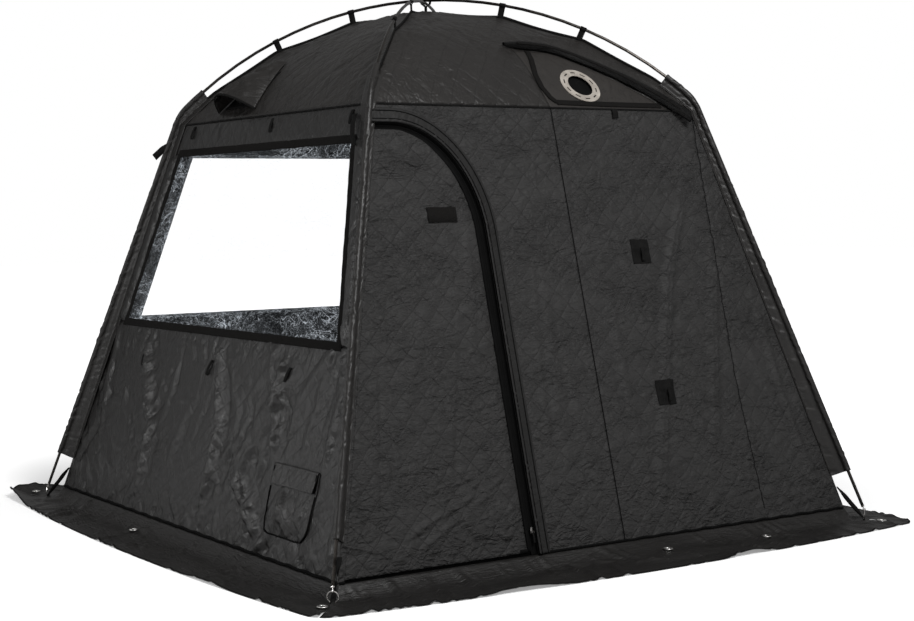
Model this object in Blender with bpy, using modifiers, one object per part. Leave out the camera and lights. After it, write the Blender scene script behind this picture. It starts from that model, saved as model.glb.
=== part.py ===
"""Sauna tent on two crossing pole arches: quilted walls, zipped door, window, chimney ring and snow skirt.

Metres, +Z up. The origin is on the ground under the crown. The door wall faces -Y and the window wall -X.
A side is modelled facing -Y and a corner facing +X, and an empty turns each to its place.
"""
import math

import bmesh
import bpy
from mathutils import Matrix, Vector

# Tent body
BASE_HALF = 1.05  # half width of the walls at their bottom seam
TOP_HALF = 0.682  # half width of the walls at the roof seam
WALL_FOOT_Z = 0.043  # bottom seam of the walls above the ground
APEX_Z = 1.888  # pole centre line at the crown
ROOF_RADIUS = 1.40  # arc of the poles over the roof
ROOF_DROP = 0.043  # roof cloth below the pole centre line
CROWN_HALF = 0.018  # half width of the hole where the gores meet
QUILT = 0.004  # thickness of the quilted cloth
CLOTH = 0.0025  # thickness of the plain cloth
WEBBING = 0.0015  # thickness of one ply of webbing
GAP = 0.0003  # clearance between neighbouring pieces

# Poles and feet
POLE_DIAMETER = 0.011
ELBOW_WALL = 0.0014
ELBOW_SOCKET = 0.075  # depth of each socket of an elbow
ELBOW_BEND = 0.035  # from the bend's corner to where its curve starts
POLE_STANDOFF = 0.020  # leg centre line outside the top corner of the walls
FOOT_STANDOFF = 0.068  # pins outside the bottom corner of the walls
RING_RADIUS = 0.017
RING_WIRE = 0.0035
RING_SLACK = 0.001  # play of the ring in its strap
PIN_DIAMETER = 0.006
PIN_DEPTH = 0.028  # depth of the pin in its leg
PIN_COLLAR = 0.004  # height of the collar under the leg
PIN_NECK = 0.006  # from the eye to the collar
EYE_RADIUS = 0.0042
EYE_WIRE = 0.0032

# Sleeves, straps and tabs
SLEEVE_BORE = 0.018
SLEEVE_WALL = 0.0016
SLEEVE_FOOT_Z = 0.178  # lower end of the sleeves
SLEEVE_ROOF_REACH = 0.13  # how far a sleeve runs on over the roof from the elbow
STRAP_WIDTH = 0.012
STRAP_Z = 0.118  # where a corner strap is sewn to the walls
TAB_WIDTH = 0.022
TAB_SLACK = 0.0008  # play of the poles in their tabs
TAB_DIAGONALS = (0.285, 0.578)  # tabs along each roof seam, from the tent's axis

# Crown tie
TIE_HALF = 0.019
TIE_WIDTH = 0.014
TIE_PATCH = 0.09

# Door, with distances up the slope of the wall from its bottom seam
SEAM_X = 0.035  # upright seam between the door and the far panel
DOOR_STRIP = 0.020  # strip between the front corner and the door
DOOR_HEADER = 0.0607  # from the top of the door's cut-out to the roof seam
DOOR_ARCH_INSET = 0.062  # top of the door's arch, in from the walls' top corner
DOOR_ARCH_SPAN = 0.302
DOOR_ARCH_RISE = 0.37
DOOR_SILL = 0.010
ZIP_CHANNEL = 0.026  # from the door's edge to the cloth round it
ZIP_TAPE = 0.0014
STORM_WIDTH = 0.045
SLIDER_UP = 0.075
SLIDER_LENGTH = 0.022
SLIDER_WIDTH = 0.012
SLIDER_HEIGHT = 0.005
SLIDER_PIN = 0.0022
PULL_LENGTH = 0.034
PULL_WIDTH = 0.007

# Window
WINDOW_HEADER = 0.1147  # from the pane to the roof seam
WINDOW_HEIGHT = 0.663
WINDOW_MARGIN = 0.080  # from the wall's corners to the pane
WINDOW_FOLDS = (  # start, end, half width and height of the soft folds below the window
    ((-0.62, 0.03), (-0.50, 0.64), 0.10, 0.012),
    ((-0.30, 0.02), (-0.02, 0.66), 0.09, 0.016),
    ((0.22, 0.02), (-0.02, 0.50), 0.07, 0.010),
    ((0.36, 0.08), (0.46, 0.66), 0.07, 0.012),
)
REAR_FOLDS = (((-0.45, 0.04), (-0.36, 0.62), 0.14, 0.012), ((0.40, 0.04), (0.30, 0.60), 0.14, 0.012))
PANE = 0.001
BORDER_WIDTH = 0.028

# Chimney panel, its ring and its rolled cover
PANEL_DEPTH = 0.197  # from the roof seam to the panel's top
PANEL_KNEE_X = 0.19
PANEL_INSET = 0.122  # right end of the panel, in from the roof seam's corner
RING_X = 0.218
RING_DEPTH = 0.065  # from the roof seam to the ring's centre
CHIMNEY_OUTER = 0.156
CHIMNEY_HOLE = 0.096
CHIMNEY_PLATE = 0.002
CHIMNEY_SLOTS = 10
SLOT_LENGTH = 0.020
SLOT_WIDTH = 0.005
ROLL_START_X = 0.0
ROLL_INSET = 0.042  # end of the roll, in from the roof seam's corner
ROLL_HALF_WIDTH = 0.022
ROLL_HALF_HEIGHT = 0.008

# Vent hood
VENT_X = -0.256
VENT_HALF = 0.138
VENT_MOUTH_INSET = 0.022  # mouth of the hood, in from the roof seam
VENT_LENGTH = 0.175
VENT_TIP_X = -0.215
VENT_TIP_HALF = 0.022
VENT_HEIGHT = 0.085
STAY_INSET = 0.020  # stay behind the hood's mouth
STAY_LENGTH = 0.062
STAY_WIDTH = 0.020

# Air inlet pouch and flap
POUCH_INSET = 0.35  # middle of the pouch, in from the walls' bottom corner
POUCH_HALF = 0.140
POUCH_LOW = 0.078
POUCH_HIGH = 0.295
POUCH_CORNER = 0.060
POUCH_PUFF_HIGH = 0.218  # upper end of the pouch's bulge, clear of the flap
FLAP_LOW = 0.232
FLAP_HIGH = 0.301
FLAP_HALF = 0.134

# Guy patches
PATCH_X = 0.318
PATCH_UPS = (0.468, 0.955)
PATCH_WIDTH = 0.078
PATCH_HEIGHT = 0.084
PATCH_LOOP_HEIGHT = 0.007

# Snow skirt
SKIRT_WIDTH = 0.172
SKIRT_THICKNESS = 0.002
SKIRT_CORNER = 0.055  # rounding of the skirt's tips
SKIRT_BOW = 0.070  # how far the rim bows out between its corners
SKIRT_CURL = 0.40  # share of the width that stays down where the rim lifts
SKIRT_RUN = 0.090  # width of the slope at the middle of a wall
SKIRT_RUN_CORNER = 0.034
EYELET_INSET = 0.087  # eyelets in from the skirt's rim
EYELET_CORNER_INSET = 0.072  # corner eyelets in from the rim
EYELET_MITRE = 0.022  # corner eyelets beside the mitre
EYELET_RADIUS = 0.013
EYELET_HOLE = 0.006
EYELET_HEIGHT = 0.0016

ROOT2 = math.sqrt(2.0)
SIDE_TURNS = {"door": 0.0, "window": -90.0, "rear": 180.0, "far": 90.0}
CORNER_TURNS = {"front": 225.0, "right": -45.0, "left": 135.0, "back": 45.0}


def pole_z(diagonal, lift=0.0):
    """Height of a pole's centre line over the roof. lift parts the two poles at the crown."""
    arc = APEX_Z - ROOF_RADIUS + math.sqrt(ROOF_RADIUS ** 2 - diagonal ** 2)
    return arc + lift * math.cos(math.pi * diagonal / (2.0 * ELBOW_DIAGONAL)) ** 2


def ridge_z(diagonal):
    """Height of the roof cloth along the diagonal seams."""
    return APEX_Z - ROOF_RADIUS + math.sqrt(ROOF_RADIUS ** 2 - diagonal ** 2) - ROOF_DROP


def roof_slope(out):
    """Slope of a gore where it lies out from the tent's axis."""
    return math.atan(ROOT2 * math.tan(math.asin(out * ROOT2 / ROOF_RADIUS)))


# Derived sizes
ROOF_SEAM_Z = ridge_z(TOP_HALF * ROOT2)
WALL_ANGLE = math.atan2(ROOF_SEAM_Z - WALL_FOOT_Z, BASE_HALF - TOP_HALF)
WALL_LENGTH = math.hypot(ROOF_SEAM_Z - WALL_FOOT_Z, BASE_HALF - TOP_HALF)
SEAM_INSET = QUILT * math.tan((WALL_ANGLE - roof_slope(TOP_HALF)) / 2.0) + GAP
WALL_TOP = WALL_LENGTH - SEAM_INSET
WINDOW_HIGH = WALL_TOP - WINDOW_HEADER
WINDOW_LOW = WINDOW_HIGH - WINDOW_HEIGHT
PANEL_OUT = TOP_HALF - PANEL_DEPTH
PANEL_RIGHT_X = TOP_HALF - PANEL_INSET
RING_OUT = TOP_HALF - RING_DEPTH
ROLL_END_X = TOP_HALF - ROLL_INSET
VENT_MOUTH_OUT = TOP_HALF - VENT_MOUTH_INSET
VENT_TIP_OUT = VENT_MOUTH_OUT - VENT_LENGTH
STAY_OUT = VENT_MOUTH_OUT - STAY_INSET
POUCH_X = BASE_HALF - POUCH_INSET
SKIRT_HALF = BASE_HALF + SKIRT_WIDTH
FOOT_DIAGONAL = BASE_HALF * ROOT2 + FOOT_STANDOFF
ROOF_LOW = TOP_HALF - SEAM_INSET * math.cos(roof_slope(TOP_HALF))
DOOR_TOP = WALL_TOP - DOOR_HEADER
DOOR_ARCH_UP = DOOR_TOP - DOOR_ARCH_RISE
DOOR_ARCH_X = DOOR_ARCH_INSET - TOP_HALF
CROSSING = POLE_DIAMETER + GAP
TIE_STEM = 2.0 * WEBBING
STRAP_LOOP = RING_WIRE / 2.0 + RING_SLACK
STRAP_Z_LOW = SKIRT_THICKNESS + GAP + STRAP_LOOP + WEBBING
RING_Z = STRAP_Z_LOW - RING_SLACK / 2.0 + RING_RADIUS
PIN_POINT = Vector((FOOT_DIAGONAL, 0.0, RING_Z + RING_RADIUS))
LEG_TOP = Vector((TOP_HALF * ROOT2 + POLE_STANDOFF, 0.0, ROOF_SEAM_Z))
LEG_DIRECTION = (LEG_TOP - PIN_POINT).normalized()


def find_elbow():
    """Corner of the pole's bend: where the leg's line meets the arc over the roof."""
    low, high = 0.0, 0.3
    for _ in range(60):
        middle = (low + high) / 2.0
        point = LEG_TOP + LEG_DIRECTION * middle
        arc = APEX_Z - ROOF_RADIUS + math.sqrt(ROOF_RADIUS ** 2 - point.x ** 2)
        if point.z < arc:
            low = middle
        else:
            high = middle
    return LEG_TOP + LEG_DIRECTION * low


ELBOW = find_elbow()
ELBOW_DIAGONAL = ELBOW.x
ELBOW_ANGLE = math.asin(ELBOW_DIAGONAL / ROOF_RADIUS)


def wall_point(along, up, lift):
    """Point on the outer face of a wall, up its slope from the bottom seam, lift proud of it."""
    out = BASE_HALF - up * math.cos(WALL_ANGLE) + lift * math.sin(WALL_ANGLE)
    return Vector((along, -out, WALL_FOOT_Z + up * math.sin(WALL_ANGLE) + lift * math.cos(WALL_ANGLE)))


def roof_point(along, out, lift):
    """Point on the outer face of a gore, out from the tent's axis, lift proud of it."""
    slope = roof_slope(out)
    return Vector((along, -out - lift * math.sin(slope), ridge_z(out * ROOT2) + lift * math.cos(slope)))


def wall_half(up):
    """Half width of a wall's cloth, clear of the next wall's inner face."""
    return BASE_HALF - up * math.cos(WALL_ANGLE) - QUILT * math.sin(WALL_ANGLE) - GAP


def roof_half(out):
    """Half width of a gore's cloth, clear of the next gore's inner face."""
    return out - QUILT * math.sin(roof_slope(out)) - GAP


def wall_matrix(along, up, lift):
    """Frame on a wall: X along it, Y up its slope, Z out of it."""
    turn = Matrix.Rotation(WALL_ANGLE, 4, "X")
    return Matrix.Translation(wall_point(along, up, lift)) @ turn


def roof_matrix(along, out, lift):
    """Frame on a gore: X along it, Y up its slope, Z out of it."""
    turn = Matrix.Rotation(roof_slope(out), 4, "X")
    return Matrix.Translation(roof_point(along, out, lift)) @ turn


def bump(value):
    """Rounded hump, 1 at 0 and level with 0 from -1 and 1 on."""
    return 0.5 + 0.5 * math.cos(math.pi * value) if abs(value) < 1.0 else 0.0


def crease(along, level, start, end, width, height):
    """Height of a soft fold that runs from start to end and fades out at both."""
    axis = Vector(end) - Vector(start)
    offset = Vector((along, level)) - Vector(start)
    share = offset.dot(axis) / axis.length_squared
    if not 0.0 < share < 1.0:
        return 0.0
    return height * bump((offset - axis * share).length / width) * math.sin(math.pi * share) ** 2


# Scene set-up
for old in list(bpy.data.objects):
    bpy.data.objects.remove(old)
tent = bpy.data.collections.new("sauna_tent")
guides = bpy.data.collections.new("cutters")
bpy.context.scene.collection.children.link(tent)
bpy.context.scene.collection.children.link(guides)


def principled(name, colour, roughness, metallic=0.0):
    material = bpy.data.materials.new(name)
    material.use_nodes = True
    shader = material.node_tree.nodes["Principled BSDF"]
    shader.inputs["Base Color"].default_value = (*colour, 1.0)
    shader.inputs["Roughness"].default_value = roughness
    shader.inputs["Metallic"].default_value = metallic
    return material


QUILTED = principled("quilted_cloth", (0.035, 0.034, 0.034), 0.55)
PLAIN = principled("plain_cloth", (0.045, 0.043, 0.041), 0.6)
SKIRT = principled("skirt_cloth", (0.040, 0.038, 0.037), 0.5)
STRAPPING = principled("webbing", (0.015, 0.015, 0.015), 0.8)
TOUCH_TAPE = principled("touch_tape", (0.008, 0.008, 0.008), 0.95)
CLEAR_PVC = principled("clear_pvc", (0.86, 0.88, 0.90), 0.15)
POLE_METAL = principled("pole_metal", (0.48, 0.47, 0.46), 0.3, 1.0)
STEEL = principled("steel", (0.62, 0.61, 0.60), 0.3, 1.0)
CHIMNEY_METAL = principled("chimney_metal", (0.66, 0.60, 0.54), 0.4, 1.0)


def turned_empty(name, degrees):
    empty = bpy.data.objects.new(name, None)
    empty.rotation_euler.z = math.radians(degrees)
    tent.objects.link(empty)
    return empty


SIDES = {name: turned_empty("side_" + name, turn) for name, turn in SIDE_TURNS.items()}
CORNERS = {name: turned_empty("corner_" + name, turn) for name, turn in CORNER_TURNS.items()}


def place(name, data, material, parent=None, matrix=None):
    """New object of the tent, in its parent's frame."""
    data.materials.clear()
    data.materials.append(material)
    item = bpy.data.objects.new(name, data)
    tent.objects.link(item)
    item.parent = parent
    if matrix is not None:
        item.matrix_basis = matrix
    return item


def mesh_from(bm, name, smooth=True):
    bmesh.ops.recalc_face_normals(bm, faces=bm.faces)
    mesh = bpy.data.meshes.new(name)
    bm.to_mesh(mesh)
    bm.free()
    if smooth:
        mesh.shade_smooth()
        mesh.set_sharp_from_angle(angle=math.radians(35.0))
    return mesh


def cloth(name, material, parent, surface, edges, across, rows, thickness, lift=0.0, fold=None):
    """Sheet lofted between two edges, which give (along, level) for t from 0 to 1, and thickened inwards."""
    bm = bmesh.new()
    bmesh.ops.create_grid(bm, x_segments=across, y_segments=rows, size=0.5)
    for vert in bm.verts:
        s, t = vert.co.x + 0.5, vert.co.y + 0.5
        first, second = edges[0](t), edges[1](t)
        along = first[0] + (second[0] - first[0]) * s
        level = first[1] + (second[1] - first[1]) * s
        raised = fold(s, t, along, level) if fold else 0.0
        vert.co = surface(along, level, lift + raised)
    bm.normal_update()
    outward = surface(along, level, 1.0) - surface(along, level, 0.0)
    if sum((face.normal for face in bm.faces), Vector()).dot(outward) < 0.0:
        bmesh.ops.reverse_faces(bm, faces=bm.faces)
    mesh = bpy.data.meshes.new(name)
    bm.to_mesh(mesh)
    bm.free()
    mesh.shade_smooth()
    item = place(name, mesh, material, parent)
    solid = item.modifiers.new("Thickness", "SOLIDIFY")
    solid.thickness = thickness
    solid.offset = -1.0
    return item


def move_origin(item, origin):
    """Puts a moving piece's origin on its joint's axis."""
    item.data.transform(Matrix.Translation(-origin))
    item.location = origin


def flat_piece(name, outlines, thickness, material, parent=None, matrix=None):
    """Plate with the first outline as its rim and the others as holes, from Z 0 to its thickness."""
    curve = bpy.data.curves.new(name, "CURVE")
    curve.dimensions = "2D"
    curve.fill_mode = "BOTH"
    curve.extrude = thickness / 2.0
    for outline in outlines:
        spline = curve.splines.new("POLY")
        spline.points.add(len(outline) - 1)
        for point, (x, y) in zip(spline.points, outline):
            point.co = (x, y, 0.0, 1.0)
        spline.use_cyclic_u = True
    base = matrix if matrix is not None else Matrix.Identity(4)
    shape = place(name, curve, material, parent, base @ Matrix.Translation((0.0, 0.0, thickness / 2.0)))
    return as_mesh(shape)


def as_mesh(item):
    """The same object with its evaluated curve as a welded mesh."""
    bpy.context.view_layer.update()
    evaluated = item.evaluated_get(bpy.context.evaluated_depsgraph_get())
    bm = bmesh.new()
    copied = bpy.data.meshes.new_from_object(evaluated)
    bm.from_mesh(copied)
    bpy.data.meshes.remove(copied)
    bmesh.ops.remove_doubles(bm, verts=bm.verts, dist=0.00001)
    name, material, parent, matrix = item.name, item.data.materials[0], item.parent, item.matrix_basis.copy()
    bpy.data.objects.remove(item)
    return place(name, mesh_from(bm, name), material, parent, matrix)


def arc_points(radius, start, end, count, centre=(0.0, 0.0)):
    """Points on an arc, with angles in degrees, its ends included."""
    points = []
    for index in range(count):
        angle = math.radians(start + (end - start) * index / (count - 1))
        points.append((centre[0] + radius * math.cos(angle), centre[1] + radius * math.sin(angle)))
    return points


def circle_points(radius, count, centre=(0.0, 0.0)):
    return arc_points(radius, 0.0, 360.0 * (count - 1) / count, count, centre)


def turned(name, profile, steps, material, parent=None, matrix=None):
    """Lathe-turned piece. The profile holds (radius, height) down its outer side."""
    mesh = bpy.data.meshes.new(name)
    mesh.from_pydata([(r, 0.0, z) for r, z in profile], [(i, i + 1) for i in range(len(profile) - 1)], [])
    item = place(name, mesh, material, parent, matrix)
    screw = item.modifiers.new("Turn", "SCREW")
    screw.steps = steps
    screw.render_steps = steps
    screw.use_merge_vertices = True
    screw.merge_threshold = 0.00001
    screw.use_smooth_shade = True
    return item


def as_cutter(item):
    """Moves an object to the cutters, out of the tent."""
    tent.objects.unlink(item)
    guides.objects.link(item)
    item.hide_render = True
    item.display_type = "WIRE"
    return item


def combine(item, other, operation):
    """Joins or cuts item with other, and keeps other as a cutter."""
    boolean = item.modifiers.new(operation.title(), "BOOLEAN")
    boolean.operation = operation
    boolean.object = as_cutter(other)
    return item


def wire(name, points, radius, material, parent, capped=True, resolution=4):
    """Round bar or tube along a row of points."""
    curve = bpy.data.curves.new(name, "CURVE")
    curve.dimensions = "3D"
    curve.bevel_depth = radius
    curve.bevel_resolution = resolution
    curve.use_fill_caps = capped
    spline = curve.splines.new("POLY")
    spline.points.add(len(points) - 1)
    for point, position in zip(spline.points, points):
        point.co = (*position, 1.0)
    return place(name, curve, material, parent)


def ring_torus(major, minor, turns, sides):
    """Mesh of a closed ring about Z."""
    bpy.ops.mesh.primitive_torus_add(major_radius=major, minor_radius=minor, major_segments=turns, minor_segments=sides)
    item = bpy.context.object
    mesh = item.data
    mesh.shade_smooth()
    bpy.data.objects.remove(item)
    return mesh


def toward(direction):
    """Turn that brings Z on to a direction in the corner's upright plane, and keeps Y across it."""
    side = Vector((0.0, 1.0, 0.0))
    third = side.cross(direction).normalized()
    return Matrix((third, side, direction)).transposed().to_4x4()


def keyhole(name, loop, stem, length, width, material, parent, matrix):
    """Webbing loop about Z with its plies sewn into a stem, from X stem[0] to stem[1], down to -length."""
    outer = loop + WEBBING
    start = -math.degrees(math.acos(stem[1] / outer))
    end = 360.0 - math.degrees(math.acos(stem[0] / outer))
    rim = arc_points(outer, start, end, 13) + [(stem[0], -length), (stem[1], -length)]
    shift = Matrix.Translation((0.0, 0.0, -width / 2.0))
    return flat_piece(name, [rim, circle_points(loop, 12)], width, material, parent, matrix @ shift)


def pole_point(diagonal, lift=0.0):
    return Vector((diagonal, 0.0, pole_z(diagonal, lift)))


def arc_diagonal(distance):
    """Diagonal place of a point on the roof arc, a distance up it from the elbow."""
    return ROOF_RADIUS * math.sin(ELBOW_ANGLE - distance / ROOF_RADIUS)


def elbow_path():
    """Centre line of an elbow, from its socket on the leg to its socket on the roof pole."""
    points = [ELBOW - LEG_DIRECTION * (ELBOW_BEND + ELBOW_SOCKET)]
    start = ELBOW - LEG_DIRECTION * ELBOW_BEND
    end = pole_point(arc_diagonal(ELBOW_BEND))
    for index in range(5):
        share = index / 4.0
        points.append(start.lerp(ELBOW, share).lerp(ELBOW.lerp(end, share), share))
    for share in (0.5, 1.0):
        points.append(pole_point(arc_diagonal(ELBOW_BEND + ELBOW_SOCKET * share)))
    return points


def cloth_nearest(point):
    """Nearest point of the tent's corner line or roof seam to a point in a corner's upright plane."""
    seam = Vector((TOP_HALF * ROOT2, 0.0, ROOF_SEAM_Z))
    foot = Vector((BASE_HALF * ROOT2, 0.0, WALL_FOOT_Z))
    down = (foot - seam).normalized()
    share = (point - seam).dot(down)
    if share > 0.0:
        return seam + down * share
    centre = Vector((0.0, 0.0, APEX_Z - ROOF_DROP - ROOF_RADIUS))
    on_roof = centre + (point - centre).normalized() * ROOF_RADIUS
    return on_roof if on_roof.x < seam.x else seam


def make_leg(corner, parent):
    """Straight pole from the pin to the elbow, bored for the pin."""
    foot = PIN_POINT + LEG_DIRECTION * (EYE_RADIUS + PIN_NECK + PIN_COLLAR + GAP)
    length = (ELBOW - LEG_DIRECTION * ELBOW_BEND - foot).length
    bore = PIN_DIAMETER / 2.0 + GAP
    depth = PIN_DEPTH + GAP
    profile = [(0.0, length), (POLE_DIAMETER / 2.0, length), (POLE_DIAMETER / 2.0, 0.0), (bore, 0.0)]
    profile += [(bore, depth), (0.0, depth)]
    matrix = Matrix.Translation(foot) @ toward(LEG_DIRECTION)
    turned("pole_leg_" + corner, profile, 12, POLE_METAL, parent, matrix)


def make_elbow(corner, parent):
    """Pre-bent shoulder tube that the leg and the roof pole plug into."""
    bore = POLE_DIAMETER / 2.0 + GAP
    elbow = wire("pole_elbow_" + corner, elbow_path(), bore + ELBOW_WALL, POLE_METAL, parent, capped=False)
    wall = elbow.modifiers.new("Wall", "SOLIDIFY")
    wall.thickness = ELBOW_WALL
    wall.offset = -1.0
    wall.use_even_offset = True


def make_pin(corner, parent):
    """Pin with a collar that the leg stands on and an eye that holds the ring."""
    collar = EYE_RADIUS + PIN_NECK
    top = collar + PIN_COLLAR
    tip = top + PIN_DEPTH
    radius = PIN_DIAMETER / 2.0
    neck = EYE_WIRE / 2.0
    profile = [(0.0, tip), (radius * 0.7, tip), (radius, tip - 0.002), (radius, top)]
    profile += [(POLE_DIAMETER / 2.0, top), (POLE_DIAMETER / 2.0, collar), (neck, collar), (neck, EYE_RADIUS)]
    profile += [(0.0, EYE_RADIUS)]
    matrix = Matrix.Translation(PIN_POINT) @ toward(LEG_DIRECTION)
    pin = turned("foot_pin_" + corner, profile, 8, STEEL, parent, matrix)
    eye_matrix = matrix @ Matrix.Rotation(math.radians(90.0), 4, "X")
    eye = place("eye_" + corner, ring_torus(EYE_RADIUS, EYE_WIRE / 2.0, 10, 6), STEEL, parent, eye_matrix)
    combine(pin, eye, "UNION")


def make_ring(corner, parent):
    """Steel ring between the pin and the corner strap, across the corner."""
    centre = PIN_POINT - Vector((0.0, 0.0, RING_RADIUS))
    turn = Matrix.Rotation(math.radians(90.0), 4, "Y")
    mesh = ring_torus(RING_RADIUS, RING_WIRE / 2.0, 16, 6)
    place("foot_ring_" + corner, mesh, STEEL, parent, Matrix.Translation(centre) @ turn)


def make_strap(corner, parent):
    """Webbing from the ring up to the corner of the walls, where it is sewn in."""
    low = Vector((FOOT_DIAGONAL, 0.0, STRAP_Z_LOW))
    share = (STRAP_Z - WALL_FOOT_Z) / (ROOF_SEAM_Z - WALL_FOOT_Z)
    corner_line = ROOT2 * (BASE_HALF + (TOP_HALF - BASE_HALF) * share)
    run = Vector((corner_line + WEBBING, 0.0, STRAP_Z)) - low
    matrix = Matrix.Translation(low) @ toward(run.normalized()) @ Matrix.Rotation(math.radians(-90.0), 4, "X")
    ply = WEBBING / 2.0
    keyhole("corner_strap_" + corner, STRAP_LOOP, (-ply, ply), run.length, STRAP_WIDTH, STRAPPING, parent, matrix)


def sleeve_stations():
    """Centre, direction of travel and nearest cloth for each ring of a sleeve."""
    low = (SLEEVE_FOOT_Z - PIN_POINT.z) / LEG_DIRECTION.z
    top = (ELBOW - PIN_POINT).length
    leg_length = top - ELBOW_BEND - low
    stations = [(PIN_POINT + LEG_DIRECTION * (low + leg_length * share), LEG_DIRECTION) for share in (0.0, 0.5, 1.0)]
    end = pole_point(arc_diagonal(ELBOW_BEND))
    start = ELBOW - LEG_DIRECTION * ELBOW_BEND
    stations.append(((start + ELBOW * 2.0 + end) / 4.0, (end - start).normalized()))
    for distance in (ELBOW_BEND, (ELBOW_BEND + SLEEVE_ROOF_REACH) / 2.0, SLEEVE_ROOF_REACH):
        angle = ELBOW_ANGLE - distance / ROOF_RADIUS
        direction = Vector((-math.cos(angle), 0.0, math.sin(angle)))
        stations.append((pole_point(arc_diagonal(distance)), direction))
    return stations


def make_sleeve(corner, parent):
    """Teardrop sleeve round the pole, sewn to the corner of the walls and on up the roof seam."""
    sides = 12
    tail = sides // 2
    bm = bmesh.new()
    outer_rings, inner_rings = [], []
    for centre, direction in sleeve_stations():
        across = Vector((0.0, 1.0, 0.0))
        nearest = cloth_nearest(centre)
        outward = (centre - nearest).normalized()
        seam = nearest + outward * GAP
        outer, inner = [], []
        for index in range(sides):
            angle = 2.0 * math.pi * index / sides
            ray = outward * math.cos(angle) + across * math.sin(angle)
            point = centre + ray * (SLEEVE_BORE / 2.0 + SLEEVE_WALL)
            if abs(index - tail) <= 1:
                point = seam + across * (QUILT / 2.0) * (tail - index)
            outer.append(bm.verts.new(point))
            inner.append(bm.verts.new(centre + ray * SLEEVE_BORE / 2.0))
        outer_rings.append(outer)
        inner_rings.append(inner)
    for rings in (outer_rings, inner_rings):
        for first, second in zip(rings, rings[1:]):
            for index in range(sides):
                after = (index + 1) % sides
                bm.faces.new((first[index], first[after], second[after], second[index]))
    for end in (0, -1):
        for index in range(sides):
            after = (index + 1) % sides
            outer, inner = outer_rings[end], inner_rings[end]
            bm.faces.new((outer[index], outer[after], inner[after], inner[index]))
    place("pole_sleeve_" + corner, mesh_from(bm, "pole_sleeve_" + corner), QUILTED, parent)


def make_roof_pole(name, lift, parent):
    """Pole over the roof, from elbow to elbow of one diagonal, bent in the sockets just as they are."""
    steps = 4
    marks = [0.0, *TAB_DIAGONALS, arc_diagonal(ELBOW_BEND + ELBOW_SOCKET)]
    half = [low + (high - low) * step / steps for low, high in zip(marks, marks[1:]) for step in range(1, steps + 1)]
    half += [arc_diagonal(ELBOW_BEND + ELBOW_SOCKET * share) for share in (0.5, 0.0)]
    diagonals = [-diagonal for diagonal in reversed(half)] + [0.0] + half
    points = [pole_point(diagonal, lift) for diagonal in diagonals]
    wire(name, points, POLE_DIAMETER / 2.0, POLE_METAL, parent, resolution=3)


def make_crown_tie():
    """Webbing round the crossing of the poles, sewn to a square patch that holds the tips of the gores."""
    top = CROSSING / 2.0 + POLE_DIAMETER / 2.0 + GAP
    patch_top = -ROOF_DROP + GAP + CLOTH
    inner = [(TIE_HALF, -top), (TIE_HALF, top), (-TIE_HALF, top), (-TIE_HALF, -top)]
    wide, high = TIE_HALF + WEBBING, top + WEBBING
    stem = TIE_STEM / 2.0
    low = patch_top - CLOTH / 2.0
    neck = high + WEBBING / 2.0
    outer = [(wide, -high), (wide, high), (-wide, high), (-wide, -high), (-stem, -neck), (-stem, low)]
    outer += [(stem, low), (stem, -neck)]
    upright = Matrix.Rotation(math.radians(90.0), 4, "X")
    base = Matrix.Translation((0.0, TIE_WIDTH / 2.0, APEX_Z)) @ upright
    tie = flat_piece("crown_tie", [outer, inner], TIE_WIDTH, STRAPPING, matrix=base)
    half = TIE_PATCH / 2.0
    square = [(half, -half), (half, half), (-half, half), (-half, -half)]
    seat = Matrix.Translation((0.0, 0.0, APEX_Z + patch_top - CLOTH))
    combine(tie, flat_piece("crown_patch", [square], CLOTH, STRAPPING, matrix=seat), "UNION")


def line(first, second):
    """Edge of a cloth between two (along, level) points."""
    return lambda t: (first[0] + (second[0] - first[0]) * t, first[1] + (second[1] - first[1]) * t)


def wall_edge(sign, low, high, margin=0.0):
    """Sloping edge of a wall's cloth, margin in from its corner."""
    return lambda t: (sign * (wall_half(low + (high - low) * t) - margin), low + (high - low) * t)


def roof_edge(sign, low, high):
    """Edge of a gore along a roof seam, from low to high in distances out."""
    return lambda t: (sign * roof_half(low + (high - low) * t), low + (high - low) * t)


def round_door(offset, start):
    """Line round the door's top and right side, offset out from the cloth's edge, from X start."""
    def edge(t):
        top = DOOR_TOP + offset
        if t <= 0.1:
            return start + (DOOR_ARCH_X - start) * t / 0.1, top
        if t <= 0.55:
            angle = math.pi / 2.0 * (t - 0.1) / 0.45
            span, rise = DOOR_ARCH_SPAN + offset, DOOR_ARCH_RISE + offset
            return DOOR_ARCH_X + span * math.sin(angle), DOOR_ARCH_UP + rise * math.cos(angle)
        return DOOR_ARCH_X + DOOR_ARCH_SPAN + offset, DOOR_ARCH_UP * (1.0 - (t - 0.55) / 0.45)
    return edge


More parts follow.
